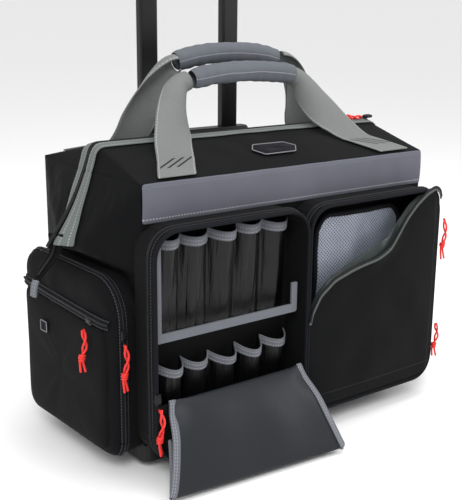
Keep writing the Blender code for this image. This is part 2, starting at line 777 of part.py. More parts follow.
def stitched_foot(side, end):
    """The stretch of handle webbing that is sewn flat to the roof, from the eave to the free leg."""
    start, stop = leg_foot(side, end, side * (depth_of(side) - 0.006)), leg_foot(side, end, side * STITCHED_Y)
    rings = []
    across = Vector((1, 0, 0))
    up = roof_normal(side)
    for centre in (start, stop):
        middle = centre - up * (WEBBING_THICKNESS * 0.3)
        rings.append(oval(middle, across, up, WEBBING_WIDTH / 2, WEBBING_THICKNESS * 0.8, 8, 0.3))
    return skin(rings)


def depth_of(side):
    return FRONT_DEPTH if side < 0 else BACK_DEPTH


def roof_normal(side):
    rise = RIDGE_HEIGHT - EAVE_HEIGHT
    return Vector((0, side * rise, depth_of(side) - ZIP_HALF_GAP)).normalized()


def leg_foot(side, end, y):
    """The middle of a handle leg where it lies on the roof: legs lean in towards the ridge."""
    lean = 0.030 / (FRONT_DEPTH - STITCHED_Y)
    x = LEG_FOOT_X - (depth_of(side) - abs(y)) * lean
    lift = GAP + WEBBING_THICKNESS / 2
    return Vector((end * x, y, roof_height(y))) + roof_normal(side) * lift


def make_top_zip(pivot, name, side):
    """A grey binding and its half of the zip coil, along the ridge and down both gables."""
    up = roof_normal(side)
    inward = Vector((0, -side * up.z, abs(up.y)))
    profile = [
        (-0.014, 2 * GAP),
        (-0.014, 0.0020),
        (0.0, 0.0020),
        (0.0006, 0.0028),
        (ZIP_HALF_GAP - 0.0005, 0.0028),
        (ZIP_HALF_GAP - 0.0005, -0.0012),
        (GAP * 2, -0.0012),
        (GAP * 2, 2 * GAP),
    ]
    rings = []
    for end in (-1, 1):
        ridge = Vector((end * HALF_RIDGE, side * ZIP_HALF_GAP, RIDGE_HEIGHT))
        foot = Vector((end * end_at_eave(), side * ZIP_HALF_GAP, EAVE_HEIGHT + 2 * GAP))
        eave = Vector((end * HALF_LENGTH, side * depth_of(side), EAVE_HEIGHT + 2 * GAP))
        along = (foot - eave).normalized()
        out = Vector((end, 0, 0.32)).normalized()
        corner_out = (out + up).normalized() * 1.2
        corner_in = (along + inward).normalized()
        stations = [(foot, along, out), (ridge, corner_in, corner_out)]
        for centre, run, rise in stations[:: 1 if end < 0 else -1]:
            rings.append([centre + run * s + rise * t for s, t in profile])
    add_mesh(name, skin(rings), "grey_webbing", pivot)


# ---------------------------------------------------------------- carry handles


def handle_stations(side, end):
    """Centre, width direction and half width of one leg, from its first free point up to its grip."""
    sewn = leg_foot(side, end, side * (STITCHED_Y - CREASE_GAP)) + roof_normal(side) * WEBBING_THICKNESS / 2
    lean_in = 0.0 if side < 0 else 0.004
    if side < 0:
        places = [(-0.028, 0.0115), (-0.011, 0.0365), (0.000, 0.0535), (0.002, 0.0620)]
    else:
        places = [(0.046, 0.0155), (0.040, 0.0475), (0.037, 0.0665), (0.036, 0.0790)]
    knee, bend, shoulder, neck = [(y, RIDGE_HEIGHT + rise) for y, rise in places]
    lean_in += (LEG_FOOT_X - GRIP_HALF_LENGTH - LEG_SPREAD) / 2
    flat = Vector((1, 0, 0))
    slant = Vector((0.92, 0, end * 0.38)).normalized()
    steep = Vector((0.70, 0, end * 0.71)).normalized()
    over = Vector((0.20, -side * 0.1, end * 0.97)).normalized()
    return [
        (sewn, flat, 0.0250),
        (Vector((end * (0.119 + lean_in), *knee)), flat, 0.0245),
        (Vector((end * (0.105 + lean_in), *bend)), slant, 0.0220),
        (Vector((end * (GRIP_HALF_LENGTH + 0.0165), *shoulder)), steep, 0.0165),
        (Vector((end * (GRIP_HALF_LENGTH + 0.0070), *neck)), over, 0.0095),
    ]


def grip_stations(side, half_length):
    """The arched run through a padded grip, from left to right."""
    rise, y, sag = (0.0745, 0.002, 0.011) if side < 0 else (0.0945, 0.036, 0.0135)
    top = RIDGE_HEIGHT + rise
    stations = []
    count = 8
    for step in range(count + 1):
        x = half_length * (2 * step / count - 1)
        stations.append(Vector((x, y, top - sag * (x / GRIP_HALF_LENGTH) ** 2)))
    return stations


def along_path(points, index):
    before = points[max(index - 1, 0)]
    after = points[min(index + 1, len(points) - 1)]
    return (after - before).normalized()


def make_handle(pivot, name, side):
    """The free loop of webbing: two flat legs that narrow and fold into a core inside the grip."""
    left = handle_stations(side, -1)
    right = handle_stations(side, 1)[::-1]
    core = [(point, None, 0.0075) for point in grip_stations(side, GRIP_HALF_LENGTH)]
    route = left + core + right
    points = [station[0] for station in route]
    rings = []
    for index, (centre, across, half) in enumerate(route):
        forward = along_path(points, index)
        if across is None:
            across = Vector((0, 0, 1))
        across = across if index < len(left) or index >= len(left) + len(core) else Vector((0, 0, 1))
        thick = across.cross(forward).normalized()
        if thick.y * side < 0:
            thick.negate()
        if index < len(left) and across.x > 0:
            across = -across
        edge_on = 0.0022 if len(left) <= index < len(left) + len(core) else WEBBING_THICKNESS / 2
        rings.append(oval(centre, across, thick, half, edge_on, 12, 0.4))
    add_mesh(f"{name}_handle_strap", skin(rings), "grey_webbing", pivot, smooth=50)


def make_handle_grip(pivot, name, side):
    """A padded sleeve round the middle of the webbing loop."""
    points = grip_stations(side, GRIP_HALF_LENGTH - 0.001)
    outer, inner = [], []
    for index, centre in enumerate(points):
        across = Vector((0, 0, 1))
        thick = across.cross(along_path(points, index)).normalized()
        ends = 0.88 if index in (0, len(points) - 1) else 1.0
        outer.append(oval(centre, across, thick, 0.0105 * ends, 0.0115 * ends, 12, 0.8))
        inner.append(oval(centre, across, thick, 0.0075 + 2 * GAP, 0.0022 + 2 * GAP, 12, 0.4))
    shape = skin(outer + inner[::-1], cyclic=True)
    add_mesh(f"{name}_handle_grip", shape, "grey_nylon", pivot, smooth=60)


# ---------------------------------------------------------------- telescoping handle


def tube(x, y, size, wall, low, high):
    outer = rounded_rectangle(x - size[0] / 2, x + size[0] / 2, y - size[1] / 2, y + size[1] / 2, 0.003, 3)
    inset = (size[0] / 2 - wall, size[1] / 2 - wall)
    inner = rounded_rectangle(x - inset[0], x + inset[0], y - inset[1], y + inset[1], 0.002, 3)
    return tube_prism(outer, inner, "XY", low, high)


def make_rails(case, stage_one, stage_two):
    for name, side in (("left", -1), ("right", 1)):
        x = side * RAIL_SPACING / 2
        sleeve = tube(x, RAIL_Y, SLEEVE_SIZE, SLEEVE_WALL, SLEEVE_FOOT, SLEEVE_TOP)
        add_mesh(f"rail_sleeve_{name}", sleeve, "black_tube", case, smooth=40)
        first = tube(x, RAIL_Y, STAGE_ONE_SIZE, TUBE_WALL, STAGE_ONE_FOOT, STAGE_ONE_TOP)
        add_mesh(f"lower_rail_{name}", first, "black_tube", stage_one, smooth=40)
        second = tube(x, RAIL_Y, STAGE_TWO_SIZE, TUBE_WALL, STAGE_TWO_FOOT, STAGE_TWO_TOP)
        add_mesh(f"upper_rail_{name}", second, "black_tube", stage_two, smooth=40)


def make_bezel(case):
    """The moulded guide that closes the tops of both sleeves round the sliding rails."""
    half = BEZEL_LENGTH / 2
    low = SLEEVE_TOP + GAP
    y = (BACK_DEPTH + 2 * GAP, RAIL_Y + SLEEVE_SIZE[1] / 2 + 0.003)
    foot = rounded_rectangle(-half, half, *y, 0.006)
    head = rounded_rectangle(-half + 0.003, half - 0.003, y[0] + 0.001, y[1] - 0.003, 0.004)
    rings = [
        flat_ring(foot, "XY", low),
        flat_ring(foot, "XY", low + BEZEL_HEIGHT - 0.003),
        flat_ring(head, "XY", low + BEZEL_HEIGHT),
    ]
    bezel = add_mesh("rail_bezel", skin(rings), "black_plastic", case, smooth=40)
    for name, side in (("left", -1), ("right", 1)):
        x = side * RAIL_SPACING / 2
        run = (STAGE_ONE_SIZE[0] / 2 + SLIDING_GAP, STAGE_ONE_SIZE[1] / 2 + SLIDING_GAP)
        hole = rounded_rectangle(x - run[0], x + run[0], RAIL_Y - run[1], RAIL_Y + run[1], 0.003, 3)
        shape = prism(hole, "XY", low - PANEL, low + BEZEL_HEIGHT + PANEL)
        cut(bezel, add_mesh(f"cut_bezel_{name}", shape, "black_plastic", case))


def make_grip(pivot):
    """The moulded pull grip: a bar with two sockets for the rails and a recess for its button."""
    half = GRIP_WIDTH / 2
    low = STAGE_TWO_TOP - SOCKET_DEPTH + GAP
    high = low + GRIP_HEIGHT
    inner = half - GRIP_ARM
    under = high - GRIP_BAR
    outline = fillet(
        [
            (-half, low, 0.003),
            (-inner, low, 0.003),
            (-inner, under, 0.012),
            (inner, under, 0.012),
            (inner, low, 0.003),
            (half, low, 0.003),
            (half, high, 0.020),
            (-half, high, 0.020),
        ]
    )
    shape = prism(outline, "XZ", RAIL_Y - GRIP_DEPTH / 2, RAIL_Y + GRIP_DEPTH / 2)
    rims = [edge for edge in shape.edges if abs(edge.verts[0].co.y - edge.verts[1].co.y) < 1e-6]
    bmesh.ops.bevel(
        shape, geom=rims, offset=0.0055, segments=3, profile=0.5, affect="EDGES", clamp_overlap=True
    )
    grip = add_mesh("pull_grip", shape, "black_plastic", pivot, smooth=50)
    for name, side in (("left", -1), ("right", 1)):
        x = side * RAIL_SPACING / 2
        run = (STAGE_TWO_SIZE[0] / 2 + GAP, STAGE_TWO_SIZE[1] / 2 + GAP)
        hole = rounded_rectangle(x - run[0], x + run[0], RAIL_Y - run[1], RAIL_Y + run[1], 0.003, 3)
        socket = prism(hole, "XY", low - PANEL, STAGE_TWO_TOP + GAP)
        cut(grip, add_mesh(f"cut_socket_{name}", socket, "black_plastic", pivot))
    length, depth, height = BUTTON_SIZE
    run = (length / 2 + SLIDING_GAP, depth / 2 + SLIDING_GAP)
    recess = rounded_rectangle(-run[0], run[0], RAIL_Y - run[1], RAIL_Y + run[1], 0.004, 3)
    floor = high + BUTTON_RISE - height - 0.004
    cut(grip, add_mesh("cut_button", prism(recess, "XY", floor, high + PANEL), "black_plastic", pivot))
    return high


def make_button(pivot, top):
    length, depth, height = BUTTON_SIZE
    high = top + BUTTON_RISE
    foot = rounded_rectangle(-length / 2, length / 2, RAIL_Y - depth / 2, RAIL_Y + depth / 2, 0.0035, 3)
    run = (length / 2 - 0.001, depth / 2 - 0.001)
    crown = rounded_rectangle(-run[0], run[0], RAIL_Y - run[1], RAIL_Y + run[1], 0.003, 3)
    rings = [(foot, high - height), (foot, high - 0.001), (crown, high)]
    shape = skin([flat_ring(line, "XY", level) for line, level in rings])
    add_mesh("release_button", shape, "grey_plastic", pivot, smooth=40)


# ---------------------------------------------------------------- wheels


def housing_line(grow):
    """The side outline of a wheel housing in YZ, grown by a clearance for the cut that takes it."""
    front = WHEEL_Y - WHEEL_RADIUS - WELL_CLEARANCE - HOUSING_WALL - grow
    back = WHEEL_Y + 0.014 + grow
    low = BASE_CLEARANCE - grow
    high = HOUSING_HEIGHT + grow
    corners = [
        (front, low, 0.0),
        (back - 0.004, low, 0.005),
        (back, low + 0.024, 0.012),
        (back - 0.010, high, 0.014),
        (front, high, 0.014),
    ]
    return fillet(corners)


def housing_half_width(grow):
    return WHEEL_WIDTH / 2 + 0.0018 + HOUSING_WALL + grow


def make_housing(case, name, side, neighbours):
    """A moulded corner that arches over the wheel and carries the axle in both cheeks."""
    x = side * WHEEL_X
    half = housing_half_width(0.0)
    block = prism(housing_line(0.0), "YZ", x - half, x + half)
    housing = add_mesh(f"wheel_housing_{name}", block, "black_plastic", case, smooth=40)
    well = WHEEL_RADIUS + WELL_CLEARANCE
    beyond = WHEEL_Y + 2 * WHEEL_RADIUS
    arch = [(beyond, WHEEL_RADIUS + well)]
    arc_steps = 12
    for step in range(arc_steps + 1):
        angle = math.pi / 2 * (1 + step / arc_steps)
        arch.append((WHEEL_Y + well * math.cos(angle), WHEEL_RADIUS + well * math.sin(angle)))
    arch += [(WHEEL_Y - well, -WHEEL_RADIUS), (beyond, -WHEEL_RADIUS)]
    inside = half - HOUSING_WALL
    hollow = prism(arch, "YZ", x - inside, x + inside)
    cut(housing, add_mesh(f"cut_well_{name}", hollow, "black_plastic", case))
    bore = axle_shape(AXLE_RADIUS + RUNNING_GAP, x - 2 * half, x + 2 * half)
    cut(housing, add_mesh(f"cut_bore_{name}", bore, "black_plastic", case))
    grown = housing_half_width(GAP)
    room = prism(housing_line(GAP), "YZ", x - grown, x + grown)
    cutter = add_mesh(f"cut_room_{name}", room, "black_plastic", case)
    for neighbour in neighbours:
        cut(neighbour, cutter)


def axle_shape(radius, start, end):
    steps = 20
    rings = []
    for x in (start, end):
        ring = []
        for step in range(steps):
            angle = math.tau * step / steps
            y = WHEEL_Y + radius * math.cos(angle)
            ring.append(Vector((x, y, WHEEL_RADIUS + radius * math.sin(angle))))
        rings.append(ring)
    return skin(rings)


def make_axle(case):
    end = WHEEL_X + housing_half_width(0.0) + 0.0015
    add_mesh("wheel_axle", axle_shape(AXLE_RADIUS, -end, end), "steel", case, smooth=40)


def make_wheel(pivot, name, side):
    """A spoked hub with a rubber tyre seated on its rim."""
    centre = Vector((side * WHEEL_X, WHEEL_Y, WHEEL_RADIUS))
    half = WHEEL_WIDTH / 2
    boss = 0.008
    rim = RIM_RADIUS - 0.005
    bore = AXLE_RADIUS + RUNNING_GAP
    profile = [
        (-half - 0.0008, bore),
        (-half - 0.0008, boss - 0.001),
        (-0.0035, boss + 0.001),
        (-0.0030, rim - 0.001),
        (-half + 0.0015, rim),
        (-half + 0.0010, RIM_RADIUS),
        (half - 0.0010, RIM_RADIUS),
        (half - 0.0015, rim),
        (0.0030, rim - 0.001),
        (0.0035, boss + 0.001),
        (half + 0.0008, boss - 0.001),
        (half + 0.0008, bore),
    ]
    hub = add_mesh(f"wheel_hub_{name}", revolve(profile, centre, 20), "grey_plastic", pivot, smooth=40)
    middle = (boss + rim) / 2
    for spoke in range(SPOKE_COUNT):
        angle = math.tau * (spoke + 0.5) / SPOKE_COUNT
        window = []
        for step in range(8):
            turn = math.tau * step / 8
            window.append(
                (
                    centre.y + middle * math.cos(angle) + 0.0042 * math.cos(turn),
                    centre.z + middle * math.sin(angle) + 0.0042 * math.sin(turn),
                )
            )
        shape = prism(window, "YZ", centre.x - half, centre.x + half)
        cut(hub, add_mesh(f"cut_hub_{name}_{spoke}", shape, "grey_plastic", pivot))
    seat = RIM_RADIUS + GAP
    shoulder = WHEEL_RADIUS - 0.0028
    tread = [
        (-half + 0.0012, seat),
        (-half, shoulder),
        (-half + 0.0022, WHEEL_RADIUS - 0.0006),
        (0.0, WHEEL_RADIUS),
        (half - 0.0022, WHEEL_RADIUS - 0.0006),
        (half, shoulder),
        (half - 0.0012, seat),
    ]
    add_mesh(f"wheel_tyre_{name}", revolve(tread, centre, 32), "rubber", pivot, smooth=40)


# ---------------------------------------------------------------- zip sliders and pulls


def make_slider(pivot, name, along, out):
    """A zip slider: a waisted block with a rounded bridge, lying along its zip with its back outwards."""
    along = Vector(along)
    out = Vector(out)
    across = along.cross(out)
    width, length, height = SLIDER_SIZE
    rings = []
    for level, grow in ((0.0, 0.85), (0.25, 1.0), (0.7, 1.0), (1.0, 0.55)):
        ring = []
        for run, spread in ((-0.5, 0.7), (-0.2, 1.0), (0.5, 0.8)):
            ring.append((run, spread))
        outline = [(run, -spread) for run, spread in ring] + ring[::-1]
        centre = pivot.point + out * height * level
        long, wide = along * length * grow, across * width / 2 * grow
        rings.append([centre + long * run + wide * spread for run, spread in outline])
    add_mesh(f"{name}_slider", skin(rings), "black_plastic", pivot)


def make_pull(pivot, name, route):
    """The cord pull of a slider: a doubled cord, given by the points its middle passes through."""
    line = smooth_line(route, 4)
    curve = bpy.data.curves.new(f"{name}_pull", "CURVE")
    curve.dimensions = "3D"
    curve.bevel_depth = CORD_RADIUS
    curve.bevel_resolution = 2
    curve.use_fill_caps = True
    spline = curve.splines.new("POLY")
    spline.points.add(len(line) - 1)
    for point, place_at in zip(spline.points, line):
        point.co = (*(place_at - pivot.point), 1.0)
    curve.materials.append(material("red_cord"))
    made = bpy.data.objects.new(f"{name}_pull", curve)
    bpy.context.scene.collection.objects.link(made)
    made.parent = pivot.empty


def zip_points():
    """Where each slider rests, the way its zip runs, the way it faces and the route of its pull."""
    edge = POCKET_FRONT_Y - GAP
    organizer = Vector((ORGANIZER_LEFT + 0.0015, edge, 0.102))
    side_x = RIGHT_POCKET_RIGHT + GAP
    high = Vector((side_x, -FRONT_DEPTH - 0.028, 0.250))
    low = Vector((side_x, -FRONT_DEPTH - 0.028, 0.105))
    junction = Vector((-DOOR_X, -FRONT_DEPTH + 0.0015 - GAP, 0.167))
    pouch = Vector((-DOOR_X - DOOR_DEPTH - GAP, -0.062, OUTER_POUCH_TOP + 0.0065))
    ridge = Vector((HALF_RIDGE - 0.004, -ZIP_HALF_GAP - 0.001, RIDGE_HEIGHT + 0.0036))
    climb = Vector((0, FRONT_DEPTH + BACK_DEPTH - 0.028, OUTER_POUCH_CLIMB)).normalized()
    forward, left, right = (0, -1, 0), (-1, 0, 0), (1, 0, 0)
    return {
        "organizer": (organizer, (0, 0, 1), forward, hang(organizer, (-0.001, -0.0085, -0.007), 0.056)),
        "upper_side": (high, (0, 0, 1), right, hang(high, (0.0085, -0.0034, -0.007), 0.058)),
        "lower_side": (low, (0, 0, 1), right, hang(low, (0.0085, 0.0034, -0.007), 0.050)),
        "left_door": (junction, (0, 0, 1), forward, hang(junction, (-0.002, -0.0085, -0.007), 0.056)),
        "left_pouch": (pouch, climb, left, hang(pouch, (-0.0085, 0.001, -0.007), 0.052)),
        "roof": (ridge, (1, 0, 0), (0, 0, 1), lie(ridge)),
    }


def hang(slider, offset, length):
    """A pull that leaves its slider outwards and then hangs down."""
    start = slider + Vector(offset)
    out = Vector((offset[0], offset[1], 0)).normalized() * 0.002
    return [start, start + out + Vector((0, 0, -length * 0.45)), start + Vector((0, 0, -length))]


def lie(slider):
    """The roof's pull, laid back along the ridge from its slider."""
    start = slider + Vector((-0.0095, 0.0, 0.0015))
    return [start, start + Vector((-0.018, -0.0012, 0.0)), start + Vector((-0.036, 0.0, 0.0))]


# ---------------------------------------------------------------- assembly


def main():
    clear_scene()
    lean = math.sin(math.radians(180 - FLAP_OPEN_ANGLE))
    flap_reach = -FLAP_AXIS_Y + (FLAP_UPPER_LENGTH + FOLD_OFFSET) * lean
    wheel_reach = WHEEL_Y + WHEEL_RADIUS
    left_reach = HALF_LENGTH + TAIL_REACH
    right_reach = DOOR_X + DOOR_DEPTH + OUTER_POUCH_RISE
    case = Pivot("case")
    case.empty.location = ((left_reach - right_reach) / 2, (flap_reach - wheel_reach) / 2, 0.0)

    tray_object = make_base_tray(case)
    back_object = make_flat_panels(case)
    make_end_panel(case, "left_end_panel", -1)
    make_end_panel(case, "right_end_panel", 1)
    make_front_band(case)

    make_front_pocket(case, "organizer_gusset", ORGANIZER_LEFT, POCKET_SPLIT - 2 * GAP, ORGANIZER_SILL)
    make_front_pocket(case, "right_pocket_gusset", POCKET_SPLIT, RIGHT_POCKET_RIGHT, RIGHT_POCKET_SILL)
    make_pouch_row(case, "upper_pouches", UPPER_ROW_FOOT, UPPER_ROW_TOP, BOARD_EDGE)
    make_pouch_row(case, "lower_pouches", LOWER_ROW_FOOT, LOWER_ROW_TOP, 0.0)
    make_pouch_binding(case, "upper_pouch_binding", UPPER_ROW_TOP)
    make_pouch_binding(case, "lower_pouch_binding", LOWER_ROW_TOP)
    make_board_binding(case)
    make_mesh_pocket(case)

    flap = Pivot("flap_hinge", case, (0, FLAP_AXIS_Y, FLAP_HINGE_HEIGHT), FLAP_OPEN_ANGLE)
    fold_z = FLAP_HINGE_HEIGHT + FLAP_UPPER_LENGTH + FOLD_OFFSET / 2
    flap_end = Pivot("flap_fold", flap, (0, FLAP_AXIS_Y - FOLD_OFFSET, fold_z), FLAP_FOLD_ANGLE)
    make_organizer_flap(flap, flap_end)
    cover_y = POCKET_FRONT_Y - GAP - FRONT_POCKET_WALL
    make_right_flap(Pivot("cover_hinge", case, (0, cover_y, RIGHT_POCKET_SILL)))

    for name, side in (("left", -1), ("right", 1)):
        door = Pivot(f"{name}_door_hinge", case, (side * DOOR_X, 0, POCKET_SILL - GAP))
        make_end_pocket(case, door, name, side)
        make_end_zip(case, name, side)
        if side < 0:
            left_door = door
    make_zip_tail(Pivot("tail_hinge", case, tail_root()))

    band_face = POCKET_FACE_Y - BAND_THICKNESS - GAP
    front_roof = Pivot("front_roof_hinge", case, (0, band_face, EAVE_HEIGHT))
    back_roof = Pivot("back_roof_hinge", case, (0, BACK_DEPTH + GAP, EAVE_HEIGHT))
    for name, side, roof in (("front", -1, front_roof), ("back", 1, back_roof)):
        make_roof_half(roof, f"{name}_roof_panel", side)
        make_top_zip(roof, f"{name}_top_zip", side)
        root = leg_foot(side, 0, side * STITCHED_Y) + roof_normal(side) * WEBBING_THICKNESS / 2
        handle = Pivot(f"{name}_handle_hinge", roof, (0, root.y, root.z))
        make_handle(handle, name, side)
        make_handle_grip(handle, name, side)

    stage_one = Pivot("lower_rail_slide", case, (0, RAIL_Y, STAGE_ONE_FOOT))
    stage_two = Pivot("upper_rail_slide", stage_one, (0, RAIL_Y, STAGE_TWO_FOOT))
    make_rails(case, stage_one, stage_two)
    make_bezel(case)
    grip_top = make_grip(stage_two)
    button = Pivot("button_slide", stage_two, (0, RAIL_Y, grip_top))
    make_button(button, grip_top)

    make_axle(case)
    for name, side in (("left", -1), ("right", 1)):
        make_housing(case, name, side, (tray_object, back_object))
        wheel = Pivot(f"{name}_wheel_axis", case, (side * WHEEL_X, WHEEL_Y, WHEEL_RADIUS))
        make_wheel(wheel, name, side)

    carriers = {"left_pouch": left_door, "roof": front_roof}
    for name, (point, along, out, route) in zip_points().items():
        slide = Pivot(f"{name}_zip_slide", carriers.get(name, case), point)
        make_slider(slide, name, along, out)
        make_pull(slide, name, route)


main()
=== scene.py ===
import json
from math import atan, cos, exp, hypot, log, pi, radians, sin, sqrt, tau

import bpy
from mathutils import Matrix, Vector, noise


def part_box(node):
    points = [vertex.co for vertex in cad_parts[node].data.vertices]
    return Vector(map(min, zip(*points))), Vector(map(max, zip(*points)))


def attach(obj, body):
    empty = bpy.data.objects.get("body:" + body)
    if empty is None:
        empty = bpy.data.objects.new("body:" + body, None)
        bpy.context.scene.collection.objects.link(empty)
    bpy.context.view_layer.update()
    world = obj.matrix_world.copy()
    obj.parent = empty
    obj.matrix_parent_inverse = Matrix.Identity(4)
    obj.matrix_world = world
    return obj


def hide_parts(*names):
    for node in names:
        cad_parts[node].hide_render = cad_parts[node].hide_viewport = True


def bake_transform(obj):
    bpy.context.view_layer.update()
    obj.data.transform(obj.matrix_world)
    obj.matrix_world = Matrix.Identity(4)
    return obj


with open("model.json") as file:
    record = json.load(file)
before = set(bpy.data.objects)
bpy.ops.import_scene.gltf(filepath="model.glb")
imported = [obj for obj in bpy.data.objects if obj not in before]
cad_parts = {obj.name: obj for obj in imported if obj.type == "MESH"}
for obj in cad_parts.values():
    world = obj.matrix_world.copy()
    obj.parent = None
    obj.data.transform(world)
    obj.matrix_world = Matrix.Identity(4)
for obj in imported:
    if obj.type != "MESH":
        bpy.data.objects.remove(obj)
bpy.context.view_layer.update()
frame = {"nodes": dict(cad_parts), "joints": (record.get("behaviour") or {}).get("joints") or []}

print("frame loaded")

# The case's own coordinates: x from its middle, y from its roof's ridge, z from the floor
frontLow, frontHigh = map(Vector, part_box("front_panel"))
middle = Vector(((frontLow.x + frontHigh.x) / 2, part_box("front_top_zip")[1][1] + 0.0005, 0))
halfLength = (frontHigh.x - frontLow.x) / 2
frontY = frontLow.y - middle.y
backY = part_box("back_panel")[1][1] - middle.y
eaveZ = frontHigh.z + 0.0003
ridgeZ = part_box("front_roof_panel")[1][2]
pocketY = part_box("organizer_gusset")[0][1] - middle.y
bulgeReach = frontLow.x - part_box("left_end_panel")[0][0]
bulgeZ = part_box("left_end_zip")[0][2] - 0.004
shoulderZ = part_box("left_end_pocket_gusset")[1][2] + 0.004
halfRidge = halfLength - 0.003


def at(x, y, z):
    return Vector((x, y, z)) + middle


def localBox(node):
    low, high = map(Vector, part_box(node))
    return low - middle, high - middle


def depthOf(sign):
    # from the ridge out to the front eave for -1, or to the back eave for 1
    return abs(frontY) if sign < 0 else backY


def placed(name, data):
    made = bpy.data.objects.new(name, data)
    bpy.context.scene.collection.objects.link(made)
    return made


# The camera stands before the left front corner and looks a little down
camera = placed("camera", bpy.data.cameras.new("camera"))
bpy.context.scene.camera = camera
view = {"place": (-0.7687, -0.9943, 0.5402), "turn": 41.62, "drop": 16.35, "roll": 1.81,
    "lens": 73.56, "shift": (-0.1566, 0.0502)}
turn, drop, roll = (radians(view[key]) for key in ("turn", "drop", "roll"))
forward = Vector((sin(turn) * cos(drop), cos(turn) * cos(drop), -sin(drop)))
flatRight = forward.cross(Vector((0, 0, 1))).normalized()
flatUp = flatRight.cross(forward)
right = flatRight * cos(roll) + flatUp * sin(roll)
up = flatUp * cos(roll) - flatRight * sin(roll)
turned = Matrix((right, up, -forward)).transposed().to_4x4()
camera.matrix_world = Matrix.Translation(at(*view["place"])) @ turned
camera.data.lens = view["lens"]
camera.data.shift_x, camera.data.shift_y = view["shift"]


class Wire:
    # one socket of a shader, so that sums can be written as sums
    def __init__(self, tree, socket=None):
        self.tree = tree
        self.socket = socket

    def make(self, kind, settings=(), values=(), out=0):
        node = self.tree.nodes.new(kind)
        for key, value in dict(settings).items():
            setattr(node, key, value)
        for key, value in dict(values).items():
            if isinstance(value, Wire):
                self.tree.links.new(value.socket, node.inputs[key])
            else:
                node.inputs[key].default_value = value
        return Wire(self.tree, node.outputs[out])

    def calc(self, operation, *values):
        return self.make("ShaderNodeMath", {"operation": operation}, enumerate(values))

    def __add__(self, other):
        return self.calc("ADD", self, other)

    def __radd__(self, other):
        return self.calc("ADD", other, self)

    def __sub__(self, other):
        return self.calc("SUBTRACT", self, other)

    def __rsub__(self, other):
        return self.calc("SUBTRACT", other, self)

    def __mul__(self, other):
        return self.calc("MULTIPLY", self, other)

    def __rmul__(self, other):
        return self.calc("MULTIPLY", other, self)

    def __truediv__(self, other):
        return self.calc("DIVIDE", self, other)

    def above(self, other):
        return self.calc("GREATER_THAN", self, other)

    def below(self, other):
        return self.calc("LESS_THAN", self, other)

    def size(self):
        return self.calc("ABSOLUTE", self)

    def saw(self):
        return self.calc("FRACT", self)

    def wave(self):
        return self.calc("SINE", self)

    def most(self, other):
        return self.calc("MAXIMUM", self, other)

    def parts(self):
        node = self.tree.nodes.new("ShaderNodeSeparateXYZ")
        self.tree.links.new(self.socket, node.inputs[0])
        return [Wire(self.tree, out) for out in node.outputs]

    def stretched(self, by):
        values = {0: self, 1: by}
        return self.make("ShaderNodeVectorMath", {"operation": "MULTIPLY"}, values)

    def noise(self, scale, detail=3, rough=0.55):
        values = {"Vector": self, "Scale": scale, "Detail": detail, "Roughness": rough}
        return self.make("ShaderNodeTexNoise", {}, values)

    def mixed(self, first, second):
        values = {0: self, 6: first, 7: second}
        return self.make("ShaderNodeMix", {"data_type": "RGBA"}, values, 2)


def colour(r, g, b):
    # a colour as a screen shows it, from 0 to 255
    return tuple((value / 255) ** 2.2 for value in (r, g, b)) + (1.0,)


def near(value, centre, half):
    return (value - centre).size().below(half)


def dashes(along, pitch=0.0035, share=0.62):
    return (along / pitch).saw().below(share)


def finish(name, look, marks=None, bump=None):
    # a Principled material: marks gives (mask, colour, roughness) triples, bump adds to its height
    made = bpy.data.materials.new(name)
    made.use_nodes = True
    tree = made.node_tree
    shader = tree.nodes["Principled BSDF"]
    place = Wire(tree).make("ShaderNodeTexCoord", out="Object")
    uv = Wire(tree).make("ShaderNodeTexCoord", out="UV")
    along, across, _ = uv.parts()
    tone = place.noise(look.get("patch", 22), 4)
    base = tone * look.get("vary", 0.5) + (1 - look.get("vary", 0.5) / 2)
    paint = base.make("ShaderNodeMix", {"data_type": "RGBA", "blend_type": "MULTIPLY"},
        {0: 1.0, 6: look["colour"], 7: base}, 2)
    grain = place.stretched(look.get("stretch", (1, 1, 1))).noise(look.get("grain", 900), 2, 0.7)
    speck = look.get("speck", 0.0)
    if speck:
        tint = look.get("speckColour", colour(120, 120, 125))
        paint = ((grain - 0.45) * speck).most(0).mixed(paint, tint)
    rough = tone * look.get("roughVary", 0.15) + (look["rough"] - look.get("roughVary", 0.15) / 2)
    for mask, tint, gloss in (marks(place, along, across) if marks else ()):
        paint = mask.mixed(paint, tint)
        rough = rough + mask * (gloss - look["rough"])
    tree.links.new(paint.socket, shader.inputs["Base Color"])
    tree.links.new(rough.socket, shader.inputs["Roughness"])
    height = grain * look.get("grainHeight", 0.00006)
    creases = place.stretched(look.get("creaseStretch", (1, 1, 1))).noise(look.get("creases", 40), 3, 0.5)
    height = height + creases * look.get("creaseHeight", 0.0006)
    if bump:
        height = height + bump(place, along, across)
    raised = height.make("ShaderNodeBump", {}, {"Height": height, "Distance": 1.0, "Strength": 1.0})
    tree.links.new(raised.socket, shader.inputs["Normal"])
    for key, value in (("Metallic", look.get("metal", 0.0)), ("Sheen Weight", look.get("sheen", 0.0)),
            ("Sheen Roughness", 0.5), ("Coat Weight", look.get("coat", 0.0)), ("Coat Roughness", 0.25),
            ("Specular IOR Level", look.get("shine", 0.5))):
        shader.inputs[key].default_value = value
    return made


thread = colour(130, 130, 138)
darkThread = colour(38, 39, 44)


def seamLines(offsets, tint=thread):
    # rows of stitches at these distances across the piece
    def marks(place, along, across):
        return [(near(across, offset, 0.0005) * dashes(along), tint, 0.6) for offset in offsets]
    return marks


